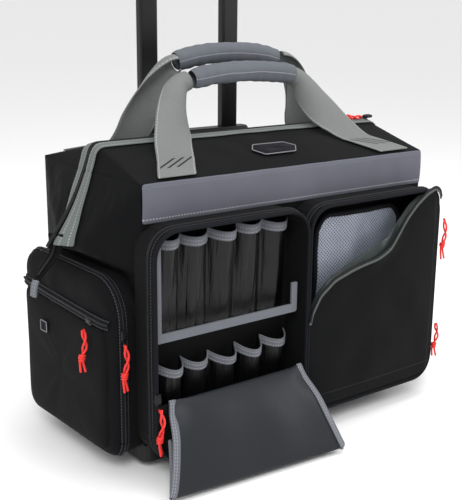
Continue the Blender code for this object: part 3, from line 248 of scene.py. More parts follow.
blackCloth = {"colour": colour(9, 10, 12), "rough": 0.85, "speck": 0.09, "speckColour": colour(60, 62, 68),
    "grainHeight": 0.00006, "creaseHeight": 0.0010, "creases": 22, "sheen": 0.01, "shine": 0.15}
greyCloth = {"colour": colour(87, 88, 97), "rough": 0.85, "speck": 0.3, "speckColour": colour(120, 120, 128),
    "creaseHeight": 0.0003, "sheen": 0.05, "vary": 0.25, "shine": 0.25}
webbing = {"colour": colour(104, 106, 105), "rough": 0.8, "vary": 0.25, "speck": 0.3,
    "speckColour": colour(150, 150, 150), "creaseHeight": 0.0004, "sheen": 0.05, "shine": 0.25}
trimLook = {**webbing, "colour": colour(90, 95, 93), "vary": 0.35}
bindingLook = {**webbing, "colour": colour(92, 94, 100), "vary": 0.4, "creaseHeight": 0.0006}
lining = {"colour": colour(20, 24, 30), "rough": 0.5, "vary": 0.35, "creaseHeight": 0.0012, "creases": 18,
    "grainHeight": 0.00002, "shine": 0.35}
elastic = {"colour": colour(5, 5, 7), "rough": 0.42, "vary": 0.7, "stretch": (1, 1, 0.15), "grain": 260,
    "grainHeight": 0.00025, "creaseStretch": (3.2, 1.6, 0.28), "creases": 52, "creaseHeight": 0.0030,
    "coat": 0.02, "shine": 0.3}
netting = {"colour": colour(138, 144, 156), "rough": 0.45, "vary": 0.7, "creaseHeight": 0.0012, "patch": 45}
moulded = {"colour": colour(20, 20, 22), "rough": 0.5, "vary": 0.2, "grain": 1400, "grainHeight": 0.00005,
    "creaseHeight": 0.0, "shine": 0.35}
tubing = {"colour": colour(10, 10, 11), "rough": 0.35, "metal": 0.2, "vary": 0.1, "grain": 500,
    "stretch": (1, 1, 0.02), "grainHeight": 0.00001, "creaseHeight": 0.0, "shine": 0.4}
rubberLook = {"colour": colour(18, 18, 19), "rough": 0.85, "vary": 0.4, "creaseHeight": 0.0,
    "grainHeight": 0.00008,
    "shine": 0.3}
steelLook = {"colour": colour(150, 150, 152), "rough": 0.3, "metal": 1.0, "vary": 0.2, "creaseHeight": 0.0,
    "grainHeight": 0.00001}
redCord = {"colour": colour(214, 32, 22), "rough": 0.6, "vary": 0.35, "grain": 700, "grainHeight": 0.0002,
    "creaseHeight": 0.0, "sheen": 0.1, "patch": 160}
zipLook = {"colour": colour(15, 15, 18), "rough": 0.5, "creaseHeight": 0.0, "grainHeight": 0.00003,
    "shine": 0.3}


def webRibs(place, along, across):
    return (across * 2600).wave() * 0.00006 + (along * 1500).wave() * 0.00005


def zipTeeth(place, along, across):
    return (along * 2 * pi / 0.0016).wave() * 0.0003


barTacks = {"first": 0.0195, "pitch": 0.0145, "half": 0.0026, "slope": 1.2, "low": 0.021, "high": 0.046,
    "reach": 0.021}


def strokes(place, along, across):
    # three slanted bars of dense stitching on each foot of a handle
    slanted = along - across * barTacks["slope"]
    rows = near(slanted, barTacks["first"], barTacks["half"])
    for row in (1, 2):
        rows = rows.most(near(slanted, barTacks["first"] + row * barTacks["pitch"], barTacks["half"]))
    inside = across.size().below(barTacks["reach"]) * along.above(barTacks["low"])
    inside = inside * along.below(barTacks["high"])
    edges = near(across.size(), 0.0228, 0.0005) * dashes(along)
    return [(edges, colour(150, 150, 150), 0.6), (rows * inside, colour(12, 12, 14), 0.6)]


blackFinish = finish("black_cloth", blackCloth)
webFinish = finish("grey_binding", bindingLook, seamLines([0.0, 0.003], colour(130, 130, 136)), webRibs)
trimFinish = finish("grey_trim", trimLook, seamLines([-0.0035, 0.0035], colour(130, 134, 132)), webRibs)
strapFinish = finish("handle_webbing", webbing, strokes, webRibs)
liningFinish = finish("slate_lining", lining)
elasticFinish = finish("pouch_elastic", elastic)
zipFinish = finish("zip_coil", zipLook, None, zipTeeth)
cordFinish = finish("red_cord", redCord)
mouldedFinish = finish("moulded_plastic", moulded)
tubeFinish = finish("black_tube", tubing)


def addGrid(name, rows, look, loop=False, uv=None, thick=0.0, smooth=1, body="bag", stands=(), out=None):
    # a surface through rows of points, with its texture laid out in metres and its face turned to out
    verts = [tuple(point) for row in rows for point in row]
    count = len(rows[0])
    columns = count if loop else count - 1
    faces = []
    layout = []
    run = [0.0]
    for before, after in zip(rows, rows[1:]):
        run.append(run[-1] + (after[count // 2] - before[count // 2]).length)
    side = [0.0]
    widest = rows[len(rows) // 2]
    for before, after in zip(widest, widest[1:] + widest[:1]):
        side.append(side[-1] + (after - before).length)
    middleSide = 0.0 if loop else side[count - 1] / 2
    for r in range(len(rows) - 1):
        for c in range(columns):
            after = (c + 1) % count
            faces.append((r * count + c, r * count + after, (r + 1) * count + after, (r + 1) * count + c))
            for rr, cc in ((r, c), (r, c + 1), (r + 1, c + 1), (r + 1, c)):
                layout += uv(rr, cc) if uv else (run[rr], side[cc] - middleSide)
    mesh = bpy.data.meshes.new(name)
    mesh.from_pydata(verts, [], faces)
    mesh.uv_layers.new(name="UVMap").data.foreach_set("uv", layout)
    mesh.shade_smooth()
    mesh.materials.append(look)
    if out is not None:
        facing = sum((face.normal * face.area for face in mesh.polygons), Vector())
        if facing.dot(Vector(out)) < 0:
            mesh.flip_normals()
    made = placed(name, mesh)
    if thick:
        wall = made.modifiers.new("thickness", "SOLIDIFY")
        wall.thickness = abs(thick)
        wall.offset = 1 if thick > 0 else -1
    if smooth:
        soft = made.modifiers.new("soft", "SUBSURF")
        soft.levels = soft.render_levels = min(smooth, 2)
    if body:
        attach(made, body)
    if stands:
        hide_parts(*stands)
    return made


def curveThrough(points, steps=6):
    # a smooth line through the points
    route = [Vector(point) for point in points]
    route = [route[0] * 2 - route[1]] + route + [route[-1] * 2 - route[-2]]
    line = []
    for index in range(1, len(route) - 2):
        before, start, end, after = route[index - 1:index + 3]
        for step in range(steps):
            t = step / steps
            line.append(start * (2 * t**3 - 3 * t**2 + 1) + (end - before) / 2 * (t**3 - 2 * t**2 + t)
                + end * (3 * t**2 - 2 * t**3) + (after - start) / 2 * (t**3 - t**2))
    line.append(route[-2])
    return line


def evenly(line, spacing):
    # the same line with its points this far apart
    marks = [0.0]
    for before, after in zip(line, line[1:]):
        marks.append(marks[-1] + (after - before).length)
    count = max(3, round(marks[-1] / spacing))
    even = []
    index = 0
    for step in range(count + 1):
        target = marks[-1] * step / count
        while index < len(line) - 2 and marks[index + 1] < target:
            index += 1
        gap = marks[index + 1] - marks[index] or 1.0
        even.append(line[index].lerp(line[index + 1], (target - marks[index]) / gap))
    return even


def rounded(left, rightEdge, low, high, radii, steps):
    # pairs along a closed outline with these corner radii, from its lower left corner round by the right
    pairs = []
    corners = [(left, low, 180), (rightEdge, low, 270), (rightEdge, high, 0), (left, high, 90)]
    for (across, tall, start), radius in zip(corners, radii):
        centreAcross = across + radius * (1 if across == left else -1)
        centreTall = tall + radius * (1 if tall == low else -1)
        for step in range(steps + 1):
            angle = radians(start + 90 * step / steps)
            pairs.append((centreAcross + radius * cos(angle), centreTall + radius * sin(angle)))
    return pairs


def heading(line, index):
    return (line[min(index + 1, len(line) - 1)] - line[max(index - 1, 0)]).normalized()


def addTube(name, line, radius, look, body="bag", sides=8, stands=()):
    rows = []
    side = heading(line, 0).orthogonal().normalized()
    for index, centre in enumerate(line):
        ahead = heading(line, index)
        side = (side - ahead * side.dot(ahead)).normalized()
        other = ahead.cross(side)
        size = radius(index / (len(line) - 1)) if callable(radius) else radius
        rows.append([centre + side * cos(tau * k / sides) * size
            + other * sin(tau * k / sides) * size for k in range(sides)])
    return addGrid(name, rows, look, loop=True, body=body, stands=stands)


def addBand(name, line, facing, width, look, body="bag", thick=0.0012, lift=0.0, stands=()):
    # a flat band along a line: facing gives its outward side at each point
    rows = []
    for index, centre in enumerate(line):
        out = facing(index) if callable(facing) else Vector(facing)
        ahead = heading(line, index)
        across = ahead.cross(out).normalized()
        out = across.cross(ahead).normalized()
        half = (width(index / (len(line) - 1)) if callable(width) else width) / 2
        rows.append([centre + out * lift + across * half * k for k in (-1, -0.9, -0.3, 0.3, 0.9, 1)])
    return addGrid(name, rows, look, thick=thick, body=body, stands=stands)


def crumple(point, size, amount):
    return noise.noise(Vector(point) / size) * amount


zipForm = {"tape": 0.0008, "lift": 0.0014, "coil": 0.0017, "sides": 6}


def addZip(name, line, facing, body="bag", tape=0.012):
    # a coil between two stitched tapes
    addBand(f"{name}_tape", line, facing, tape, zipTape, body, zipForm["tape"])
    out = facing if callable(facing) else (lambda index: Vector(facing))
    raised = [point + out(index).normalized() * zipForm["lift"] for index, point in enumerate(line)]
    addTube(f"{name}_coil", raised, zipForm["coil"], zipFinish, body, zipForm["sides"])


zipTape = finish("zip_tape", {**blackCloth, "colour": colour(22, 23, 27), "creaseHeight": 0.0002},
    seamLines([-0.0045, 0.0045], colour(62, 62, 68)))


# Each cord pull's body and the angle its strands start from
pulls = {"organizer": ("organizer_zip", 0.4), "upper_side": ("upper_side_zip", 1.3),
    "lower_side": ("lower_side_zip", 2.2), "left_door": ("left_door_zip", 0.9),
    "left_pouch": ("left_pouch_zip", 1.8), "roof": ("roof_zip", 2.9)}
pullForm = {"strand": 0.00145, "turns": 1.7, "sway": 0.0022, "back": 0.0016, "open": 0.0006, "loose": 0.0014,
    "knotAt": 0.66, "knot": 0.0015, "knotTurns": 2.4, "knotLong": 0.0062, "knotWide": 0.0027}
pullShift = {"upper_side": (0.003, -0.006, 0), "lower_side": (0.003, -0.010, 0), "left_pouch": (-0.0012, 0,
    0)}


def addPull(name, body, start):
    # two strands that cross from the slider down to a knot, and two loose ends below it
    low, high = map(Vector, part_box(f"{name}_pull"))
    sliderLow, sliderHigh = map(Vector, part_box(f"{name}_slider"))
    slider = (sliderLow + sliderHigh) / 2
    lying = (high.x - low.x) > (high.z - low.z)
    if lying:
        top = Vector((high.x - 0.002, (low.y + high.y) / 2, (low.z + high.z) / 2 + 0.0005))
        foot = Vector((low.x - 0.0005, (low.y + high.y) / 2 + 0.003, (low.z + high.z) / 2 + 0.0005))
    else:
        pointOut = ((low + high) / 2 - slider)
        pointOut.z = 0
        top = Vector(((low.x + high.x) / 2, (low.y + high.y) / 2,
            high.z - 0.002)) - pointOut.normalized() * 0.0012
        foot = Vector(((low.x + high.x) / 2, (low.y + high.y) / 2, low.z + 0.002))
    nudge = Vector(pullShift.get(name, (0, 0, 0)))
    top += nudge
    foot += nudge
    sway = (foot - top).cross(Vector((0.3, 0.4, 0.87))).normalized()
    route = evenly(curveThrough([top, top.lerp(foot, 0.35) + sway * pullForm["sway"],
        top.lerp(foot, 0.7) - sway * pullForm["back"], foot], 10), 0.0012)
    strands = []
    knotAt = pullForm["knotAt"]
    for strand in (0, 1):
        line = []
        side = sway
        for index, centre in enumerate(route):
            share = index / (len(route) - 1)
            ahead = heading(route, index)
            side = (side - ahead * side.dot(ahead)).normalized()
            angle = start + strand * pi + min(share, knotAt + 0.05) * tau * pullForm["turns"]
            loose = max(0.0, (share - knotAt - 0.06) / (1 - knotAt)) * pullForm["loose"]
            around = side * cos(angle) + ahead.cross(side) * sin(angle)
            gap = pullForm["open"] * sin(share * pi / knotAt) ** 2 * (share < knotAt)
            line.append(centre + around * (pullForm["strand"] + loose + gap))
        strands.append(line)
    knot = []
    centre = route[round(knotAt * (len(route) - 1))]
    ahead = heading(route, round(knotAt * (len(route) - 1)))
    side = (sway - ahead * sway.dot(ahead)).normalized()
    for step in range(40):
        angle = tau * pullForm["knotTurns"] * step / 39
        knot.append(centre + ahead * (step / 39 - 0.5) * pullForm["knotLong"]
            + (side * cos(angle) + ahead.cross(side) * sin(angle)) * pullForm["knotWide"])
    parts = [addTube(f"{name}_strand_{index}", line, pullForm["strand"], cordFinish, None, 7)
        for index, line in enumerate(strands)]
    parts.append(addTube(f"{name}_knot", knot, pullForm["knot"], cordFinish, None, 7))
    whole = joined(f"{name}_cord", parts)
    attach(whole, body)
    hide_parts(f"{name}_pull")
    length = sum((after - before).length for before, after in zip(route, route[1:]))
    return length


def joined(name, parts):
    # one mesh out of several, with their modifiers applied
    graph = bpy.context.evaluated_depsgraph_get()
    verts, faces, layout, looks = [], [], [], []
    picks = []
    for part in parts:
        bpy.context.view_layer.update()
        graph.update()
        mesh = part.evaluated_get(graph).to_mesh()
        first = len(verts)
        verts += [tuple(part.matrix_world @ vert.co) for vert in mesh.vertices]
        look = part.data.materials[0]
        if look not in looks:
            looks.append(look)
        uvs = mesh.uv_layers[0].data
        for face in mesh.polygons:
            faces.append([first + index for index in face.vertices])
            picks.append(looks.index(look))
            for loop in face.loop_indices:
                layout += tuple(uvs[loop].uv)
        part.evaluated_get(graph).to_mesh_clear()
    mesh = bpy.data.meshes.new(name)
    mesh.from_pydata(verts, [], faces)
    mesh.uv_layers.new(name="UVMap").data.foreach_set("uv", layout)
    for look in looks:
        mesh.materials.append(look)
    mesh.polygons.foreach_set("material_index", picks)
    mesh.shade_smooth()
    for part in parts:
        bpy.data.objects.remove(part)
    return placed(name, mesh)


pullLengths = {name: round(addPull(name, *pulls[name]), 4) for name in pulls}
print("cord pulls", pullLengths)


endZip = {"front": 0.0225, "back": 0.013, "top": 0.0150, "lift": 0.0012, "flare": 0.017}


def softMin(values, blend):
    low = min(values)
    return low - blend * log(sum(exp((low - value) / blend) for value in values))


def reachAt(y, z):
    # how far the cloth stands out from the flat end at this place
    eaveReach = (bulgeReach + 0.003) * (ridgeZ - eaveZ) / (ridgeZ - bulgeZ) - 0.003
    slope = (bulgeReach - eaveReach) / (eaveZ - bulgeZ)
    edge = frontY if y < 0 else backY
    wide = endZip["front"] if y < 0 else endZip["back"]
    facet = eaveReach + (eaveZ - z) * slope - abs(y / edge) * max(eaveReach, 0)
    side = (abs(edge) - abs(y)) / (abs(edge) - wide) * bulgeReach
    under = (z - shoulderZ) / (bulgeZ - shoulderZ) * bulgeReach
    return max(softMin((facet, side, under), 0.0013), 0.0) + prowAt(y, z, wide)


def prowAt(y, z, wide):
    # the zip's stitched edges stand out from the end more and more towards its foot
    share = min(1.0, max(0.0, (eaveZ - z) / (eaveZ - bulgeZ)))
    if z < bulgeZ:
        share = max(0.0, 1 - (bulgeZ - z) / 0.010)
    return endZip["flare"] * share ** 2 * max(0.0, 1 - abs(y) / wide)


def endPoint(sign, y, z, lift=0.0):
    reach = reachAt(y, z)
    fade = min(1.0, max(0.0, (abs(frontY if y < 0 else backY) - abs(y)) / 0.02))
    fade *= min(1.0, max(0.0, (eaveZ - z) / 0.02)) if z < eaveZ else 0.0
    ripple = crumple((y, z, sign), 0.028, 0.0026) + crumple((y * 2, z, 7 + sign), 0.016, 0.0012)
    centre = max(0.0, 1 - abs(y) / 0.03)
    out = reach + ripple * fade * (1 - 0.8 * centre) + lift
    return at(sign * (halfLength + out), y, z)


def endTrimPoint(sign, direction, share, across):
    # share runs down a trim from the eave, across counts 0 to 6 from the coil outwards
    part = "front" if direction < 0 else "back"
    outer = endZip["top"] + (endZip[part] - endZip["top"]) * share
    z = eaveZ - (eaveZ - bulgeZ - 0.002) * share
    return endPoint(sign, direction * (trimStart + (outer - trimStart) * across / 6), z, endZip["lift"])


trimStart = 0.0028
for name, sign in (("left", -1), ("right", 1)):
    rows = []
    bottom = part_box("left_end_panel")[0][2]
    ys = [frontY + (backY - frontY) * k / 56 for k in range(57)]
    for step in range(61):
        z = bottom + (eaveZ + 0.0012 - bottom) * step / 60
        rows.append([endPoint(sign, y, z) for y in ys])
    addGrid(f"{name}_end_cloth", rows, blackFinish, thick=-0.0025, stands=[f"{name}_end_panel"],
        out=(sign, 0, 0))
    for part, direction in (("front", -1), ("back", 1)):
        rows = [[endTrimPoint(sign, direction, step / 18, k) for k in range(7)] for step in range(19)]
        addGrid(f"{name}_end_trim_{part}", rows, trimFinish, thick=0.0014, out=(sign,
            0, 0))
    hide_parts(f"{name}_end_zip")
    coil = [endPoint(sign, 0, eaveZ - (eaveZ - bulgeZ) * k / 30, 0.0022) for k in range(31)]
    addTube(f"{name}_end_coil", coil, 0.0026, zipFinish)
print("soft ends")


roofLook = {"sag": 0.0022, "trim": 0.0150}


def roofPoint(sign, x, share, lift=0.0):
    # share runs from the eave to the ridge
    depth = depthOf(sign)
    y = depth + (0.004 - depth) * share
    z = eaveZ + (ridgeZ - eaveZ) * share
    soft = sin(pi * share) * cos(x / halfLength * pi / 2)
    z += crumple((x, sign * y, 3), 0.045, 0.0028) * soft + roofLook["sag"] * soft + lift
    return at(x, sign * y, z)


def roofRow(sign, share):
    end = halfLength + (halfRidge - halfLength) * share
    row = []
    for side in (-1, 1):
        depth = depthOf(sign)
        y = depth + (0.004 - depth) * share
        reach = reachAt(0, eaveZ) * share
        low = at(side * (halfLength + reach), sign * y, eaveZ)
        edge = roofPoint(sign, side * end, share)
        gable = [low.lerp(edge, k / 4) for k in range(4)]
        row += gable if side < 0 else gable[::-1]
        if side < 0:
            row += [roofPoint(sign, -end + 2 * end * k / 60, share) for k in range(61)]
    return row


def ridgeTrimPoint(sign, k, distance):
    # k runs along the ridge from 0 to 40, and past both ends down the gables
    if k < 0 or k > 40:
        side = -1 if k < 0 else 1
        drop = (-k if k < 0 else k - 40) / 4
        z = ridgeZ - 0.001 - (ridgeZ - eaveZ) * drop
        return endPoint(side, sign * distance, z, endZip["lift"] + 0.0012 * (1 - drop))
    x = -halfRidge + 2 * halfRidge * k / 40
    return roofPoint(sign, x, 1 - (distance - 0.004) / hypot(depthOf(sign), ridgeZ - eaveZ), 0.0011)


for name, sign in (("front", -1), ("back", 1)):
    body = f"{name}_roof"
    rows = [roofRow(sign, k / 22) for k in range(23)]
    addGrid(f"{name}_roof_cloth", rows, blackFinish, thick=-0.002, body=body,
        stands=[f"{name}_roof_panel"], out=(0, 0, 1))
    rows = [[ridgeTrimPoint(sign, k, trimStart + (roofLook["trim"] - trimStart) * j / 6) for j in range(7)]
        for k in range(-4, 45)]
    addGrid(f"{name}_ridge_trim", rows, trimFinish, thick=0.0014, body=body,
        stands=[f"{name}_top_zip"],
        out=(0, 0, 1))

coil = [endPoint(-1, 0, eaveZ + (ridgeZ - eaveZ) * k / 6, 0.002) for k in range(6)]
coil += [at(-halfRidge + 2 * halfRidge * k / 60, 0, ridgeZ + 0.0012) for k in range(61)]
coil += [endPoint(1, 0, ridgeZ - (ridgeZ - eaveZ) * k / 6, 0.002) for k in range(1, 7)]
addTube("roof_coil", coil, 0.0026, zipFinish, "front_roof")
print("roof")


strapForm = {"half": 0.025, "grip": 0.0118, "lift": 0.0026, "thick": 0.0022, "roll": 300, "slants": [0, 0, 0,
    0, 4, 10,
    22, 38, 58, 82], "curls": [0, 0, 0, 0, 0.06, 0.14, 0.34, 0.62, 0.9, 1.0]}
gripForm = {"tall": 0.0126, "wide": 0.0112, "seam": 0.10, "swell": 0.05, "ripple": 0.0011}


def legStations(sign, side):
    # place, direction across and curl of a leg, from the eave up to its grip
    depth = depthOf(sign)
    feet = []
    for y, x in ((depth - 0.0015, 0.165), (depth * 0.82, 0.155), (0.065, 0.144), (0.052, 0.1365)):
        z = eaveZ + (ridgeZ - eaveZ) * (depth - abs(y)) / (depth - 0.005)
        feet.append(Vector((side * x, sign * abs(y), z + strapForm["lift"])))
    if sign < 0:
        free = [(0.128, -0.037, 0.3555), (0.119, -0.026, 0.3680), (0.1085, -0.0145, 0.3850),
            (0.099, -0.004, 0.4020), (0.090, 0.0015, 0.4135), (0.078, 0.002, 0.4185)]
    else:
        free = [(0.129, 0.048, 0.3560), (0.1235, 0.045, 0.3720), (0.1145, 0.041, 0.3930), (0.103, 0.038,
            0.4150),
            (0.091, 0.036, 0.4310), (0.078, 0.036, 0.4360)]
    places = feet + [Vector((side * x, y, z)) for x, y, z in free]
    stations = []
    for place, slant, curl in zip(places, strapForm["slants"], strapForm["curls"]):
        angle = radians(slant)
        across = Vector((cos(angle), 0, side * sin(angle)))
        stations.append((place, across, curl))
    return stations


def curledRow(centre, across, ahead, outward, curl, half):
    # the webbing's section: flat at curl 0, and rolled nearly into a tube at 1
    square = (across - ahead * across.dot(ahead)).normalized()
    across = across.lerp(square, min(1.0, curl * 4))
    normal = square.cross(ahead).normalized()
    if normal.dot(outward) < 0:
        normal.negate()
    full = radians(strapForm["roll"]) * curl
    row = []
    for k in range(13):
        s = (k / 12 * 2 - 1) * half
        if full < 0.02:
            row.append(centre + across * s)
            continue
        radius = 2 * half / full
        angle = s / radius
        row.append(centre + across * sin(angle) * radius - normal * (1 - cos(angle)) * radius
            + normal * 0.45 * (1 - cos(min(full / 2, pi / 2))) * radius * curl)
    return row


def strapLayout(run, side):
    # the webbing's texture in metres, measured from its foot
    return lambda r, c: (run[r], (c / 12 * 2 - 1) * strapForm["half"] * -side)


def addHandle(name, sign):
    outward = Vector((0, sign, 0.6))
    low, high = localBox(f"{name}_handle_grip")
    gripY = (low.y + high.y) / 2
    for side in (-1, 1):
        stations = legStations(sign, side)
        line = curveThrough([place for place, _, _ in stations], 4)
        rows = []
        run = [0.0]
        for before, after in zip(line, line[1:]):
            run.append(run[-1] + (after - before).length)
        for index, point in enumerate(line):
            spot = index / 4
            first = min(int(spot), len(stations) - 2)
            share = spot - first
            across = stations[first][1].lerp(stations[first + 1][1], share)
            curl = stations[first][2] * (1 - share) + stations[first + 1][2] * share
            rows.append([at(*corner) for corner in curledRow(point, across, heading(line, index), outward,
                curl, strapForm["half"])])
        leg = addGrid(f"{name}_leg_{side + 1}", rows, strapFinish, uv=strapLayout(run, side),
            thick=strapForm["thick"], body=None, out=outward)
        applyAll(leg)
        start = at(*(stations[3][0] - (stations[3][0] - stations[2][0]) * 0.3))
        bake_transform(leg)
    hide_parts(f"{name}_handle_strap")
    span = high.x - 0.001
    rows = []
    steps = 34
    for k in range(steps + 1):
        x = -span + 2 * span * k / steps
        share = abs(x) / span
        top = high.z - strapForm["grip"]
        sag = (high.z - low.z - 2 * strapForm["grip"])
        centre = Vector((x, gripY, top - sag * share ** 2.2 - 0.001))
        tilt = atan(2.2 * sag * share ** 1.2 / span) * (-1 if x > 0 else 1)
        swell = 1.0 + gripForm["swell"] * sin(k * 1.9) * (0.3 + share) - 0.16 * max(0, share - 0.9) / 0.1
        row = []
        for j in range(20):
            angle = tau * j / 20
            seam = 1 - gripForm["seam"] * exp(-((angle - radians(205 if sign < 0 else 335)) / 0.16) ** 2)
            tall = gripForm["tall"] * sin(angle) * swell * seam
            wide = gripForm["wide"] * cos(angle) * swell * seam
            ripple = crumple((x * 1.5, angle * 0.02, sign), 0.018, gripForm["ripple"])
            row.append(at(centre.x - sin(tilt) * tall, centre.y + wide * (1 + ripple * 60),
                centre.z + cos(tilt) * tall + ripple))
        rows.append(row)
    grip = addGrid(f"{name}_grip_pad", rows, gripFinish, loop=True, body=f"{name}_handle",
        stands=[f"{name}_handle_grip"])


def applyAll(made):
    bpy.context.view_layer.update()
    graph = bpy.context.evaluated_depsgraph_get()
    mesh = bpy.data.meshes.new_from_object(made.evaluated_get(graph))
    made.modifiers.clear()
    made.data = mesh


def gripMarks(place, along, across):
    return [(near(across, 0.0385, 0.0006) * dashes(along), colour(140, 140, 146), 0.6)]


gripFinish = finish("grip_cloth", {**greyCloth, "colour": colour(86, 89, 95), "creaseHeight": 0.0009,
    "creases": 60}, gripMarks)
addHandle("front", -1)
addHandle("back", 1)
print("handles")


rimForm = {"inset": 0.0015, "corner": 0.0285, "pipe": 0.0022, "back": 0.010, "grow": 0.0016, "tape": 0.009}


def pocketRim(name, node, body="bag"):
    low, high = localBox(node)
    inset = rimForm["inset"]
    corners = rounded(low.x + inset, high.x - inset, low.z + inset, high.z - inset, [rimForm["corner"]] * 4,
        6)
    line = [at(x, low.y, z) for x, z in corners]
    line.append(line[0])
    line = evenly(line, 0.006)
    addTube(f"{name}_rim", line, rimForm["pipe"], pipeFinish, body, 8)
    seam = [point + Vector((0, rimForm["back"], 0)) for point in line]
    grown = []
    centre = at((low.x + high.x) / 2, 0, (low.z + high.z) / 2)
    for point in seam:
        away = Vector((point.x - centre.x, 0, point.z - centre.z)).normalized()
        grown.append(point + away * rimForm["grow"])
    addZip(f"{name}_zip", grown, lambda index: Vector((grown[index].x - centre.x, 0,
        grown[index].z - centre.z)),
        body, rimForm["tape"])


pipeFinish = finish("piping", {**blackCloth, "colour": colour(19, 20, 24), "creaseHeight": 0.0001})
pocketRim("organizer", "organizer_gusset")
pocketRim("right_pocket", "right_pocket_gusset")

upperPouches = {"dip": 0.0045, "bulge": 0.017, "foot": 0.35, "fold": 0.0042, "hem": 0.0105, "seed": 3}
lowerPouches = {"dip": 0.0075, "bulge": 0.022, "foot": 0.6, "fold": 0.0030, "hem": 0.0100, "seed": 8}


def pouchPoint(low, high, form, k, share, lift=0.0):
    # twelve steps across each of five pouches, share up from the foot to the hem
    pouch, u = min(k // 12, 4), (k - 12 * min(k // 12, 4)) / 12
    x = low.x + (high.x - low.x) * k / 60
    arch = sin(pi * u) ** 0.7 if 0 < u < 1 else 0.0
    own = 1 + 0.16 * sin(pouch * 2.3 + form["seed"])
    full = form["bulge"] * own * (form["foot"] + (1 - form["foot"]) * share ** 0.7)
    fold = noise.noise(Vector((x * 120, share * 1.6 + pouch, form["seed"]))) * form["fold"] * arch
    fold += noise.noise(Vector((x * 300, share * 2.5, form["seed"] + 5))) * form["fold"] * 0.45 * arch
    fold *= 1.2 - share
    hem = high.z - form["dip"] * arch * own + 0.002 * sin(pouch * 1.7 + form["seed"])
    z = low.z + (hem - low.z) * share
    x += 0.0016 * sin(pouch * 2.9 + form["seed"]) * share * arch
    return at(x, frontY - 0.0022 - full * arch - fold - lift, z)


def addPouches(name, node, binding, form):
    low, high = localBox(node)
    rows = [[pouchPoint(low, high, form, k, j / 24) for k in range(61)] for j in range(25)]
    addGrid(name, rows, elasticFinish, thick=-0.0014, stands=[node], out=(0, -1, 0))
    start = 1 - form["hem"] / (high.z - low.z)
    rows = [[pouchPoint(low, high, form, k, start + (1.012 - start) * j / 5, 0.0009) for k in range(61)]
        for j in range(6)]
    addGrid(f"{name}_hems", rows, hemFinish, thick=0.0016, stands=[binding], out=(0, -1, 0))


def hemMarks(place, along, across):
    rows = near(along, 0.0022, 0.0004).most(near(along, 0.0064, 0.0004))
    return [(rows * dashes(across, 0.003), colour(128, 130, 136), 0.6)]


hemFinish = finish("pouch_hem", bindingLook, hemMarks, webRibs)
addPouches("upper_row", "upper_pouches", "upper_pouch_binding", upperPouches)
addPouches("lower_row", "lower_pouches", "lower_pouch_binding", lowerPouches)

flapLow, flapHigh = localBox("organizer_flap")
hingeZ = flapHigh.z + 0.001
flapForm = {"swell": 0.010, "tuck": 0.010, "twist": 0.010, "shift": 0.001, "spread": 0.13, "shelf": 0.6}


def flapPoint(u, v):
    # u across from left to right, v down the first half to the fold at 1, and up the folded half to 2
    width = (flapHigh.x - flapLow.x) / 2
    centre = (flapHigh.x + flapLow.x) / 2
    top = Vector((0, pocketY - 0.0025, hingeZ))
    fold = Vector((0, flapLow.y - 0.002, 0.0062))
    back = localBox("organizer_flap_end")[1]
    tip = Vector((0, back.y - 0.0015, back.z))
    down = min(v, 2 - v)
    narrow = 1 - (0.03 if u > 0 else 0.11) * exp(-(v / 0.3) ** 2)
    narrow += flapForm["spread"] * down ** 2 * (1.0 if u > 0 else 1.6)
    x = centre + flapForm["shift"] * down + u * width * narrow * (1.0 if v <= 1 else 0.985)
    if v <= 1:
        point = top.lerp(fold, v)
        swell = sin(pi * v ** flapForm["shelf"])
        point.y -= flapForm["swell"] * swell * (0.55 + 0.45 * cos(u * pi / 2))
        draw = exp(-((1 - abs(u)) / 0.16) ** 2) * exp(-((v - 0.14) / 0.16) ** 2)
        point.y += flapForm["tuck"] * draw
        point.y -= flapForm["twist"] * u * v
        point.y += 0.004 * cos(u * 9.0 + 0.6) * v * (1 - v)
    else:
        point = fold.lerp(tip, v - 1)
        point.y += 0.004 * sin(pi * (v - 1))
        point.y -= flapForm["twist"] * u * (2 - v)
    point.z += crumple((x, v * 0.1, 2), 0.05, 0.003) * sin(pi * min(v, 1))
    point.z = max(point.z, 0.0042)
    return at(x, point.y, point.z)


def outwardOf(edge):
    # the side of the flap that faces out where its edge runs this way
    return lambda index: Vector((1, 0, 0)).cross(heading(edge, index)) * -1


rows = [[flapPoint(k / 18 - 1, j / 20) for k in range(37)] for j in range(37)]
flap = addGrid("flap_cloth", rows, liningFinish, thick=0.0016, body=None, out=(0, -1, 0))
applyAll(flap)
bindings = []
for u, wide in ((-1, 0.0085), (1, 0.0075)):
    edge = evenly([flapPoint(u, j / 20) for j in range(37)], 0.004)
    line = [point - Vector((u * wide * 0.42, 0, 0)) for point in edge]
    bindings.append(addBand(f"flap_binding_{u + 1}", line, outwardOf(edge), wide, webFinish, None, 0.003,
        0.0))
for piece in bindings:
    applyAll(piece)
hinge = next(joint for joint in frame["joints"] if joint["name"] == "organizer_flap_unfolds")["pos_m"]
for piece in [flap] + bindings:
    Vector((hinge[0], hinge[1] - 0.006, hinge[2] + 0.001))
    Vector((hinge[0], hinge[1] + 0.006, hinge[2] - 0.001))
    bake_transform(piece)
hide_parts("organizer_flap", "organizer_flap_end")
print("organizer")


coverForm = {"foot": 0.012, "corner": 0.020, "topCorner": 0.014, "puff": 0.0065, "curl": 0.010,
    "ripple": 0.006}
coverLow, coverHigh = localBox("right_pocket_flap")
lipPoints = [(-0.0085, 0.134), (-0.004, 0.155), (0.008, 0.175), (0.030, 0.1905), (0.062, 0.2005), (0.092,
    0.2095),
    (0.114, 0.2205), (0.133, 0.236), (0.150, 0.2525), (0.167, 0.267), (0.185, 0.2785), (0.199, 0.2835)]


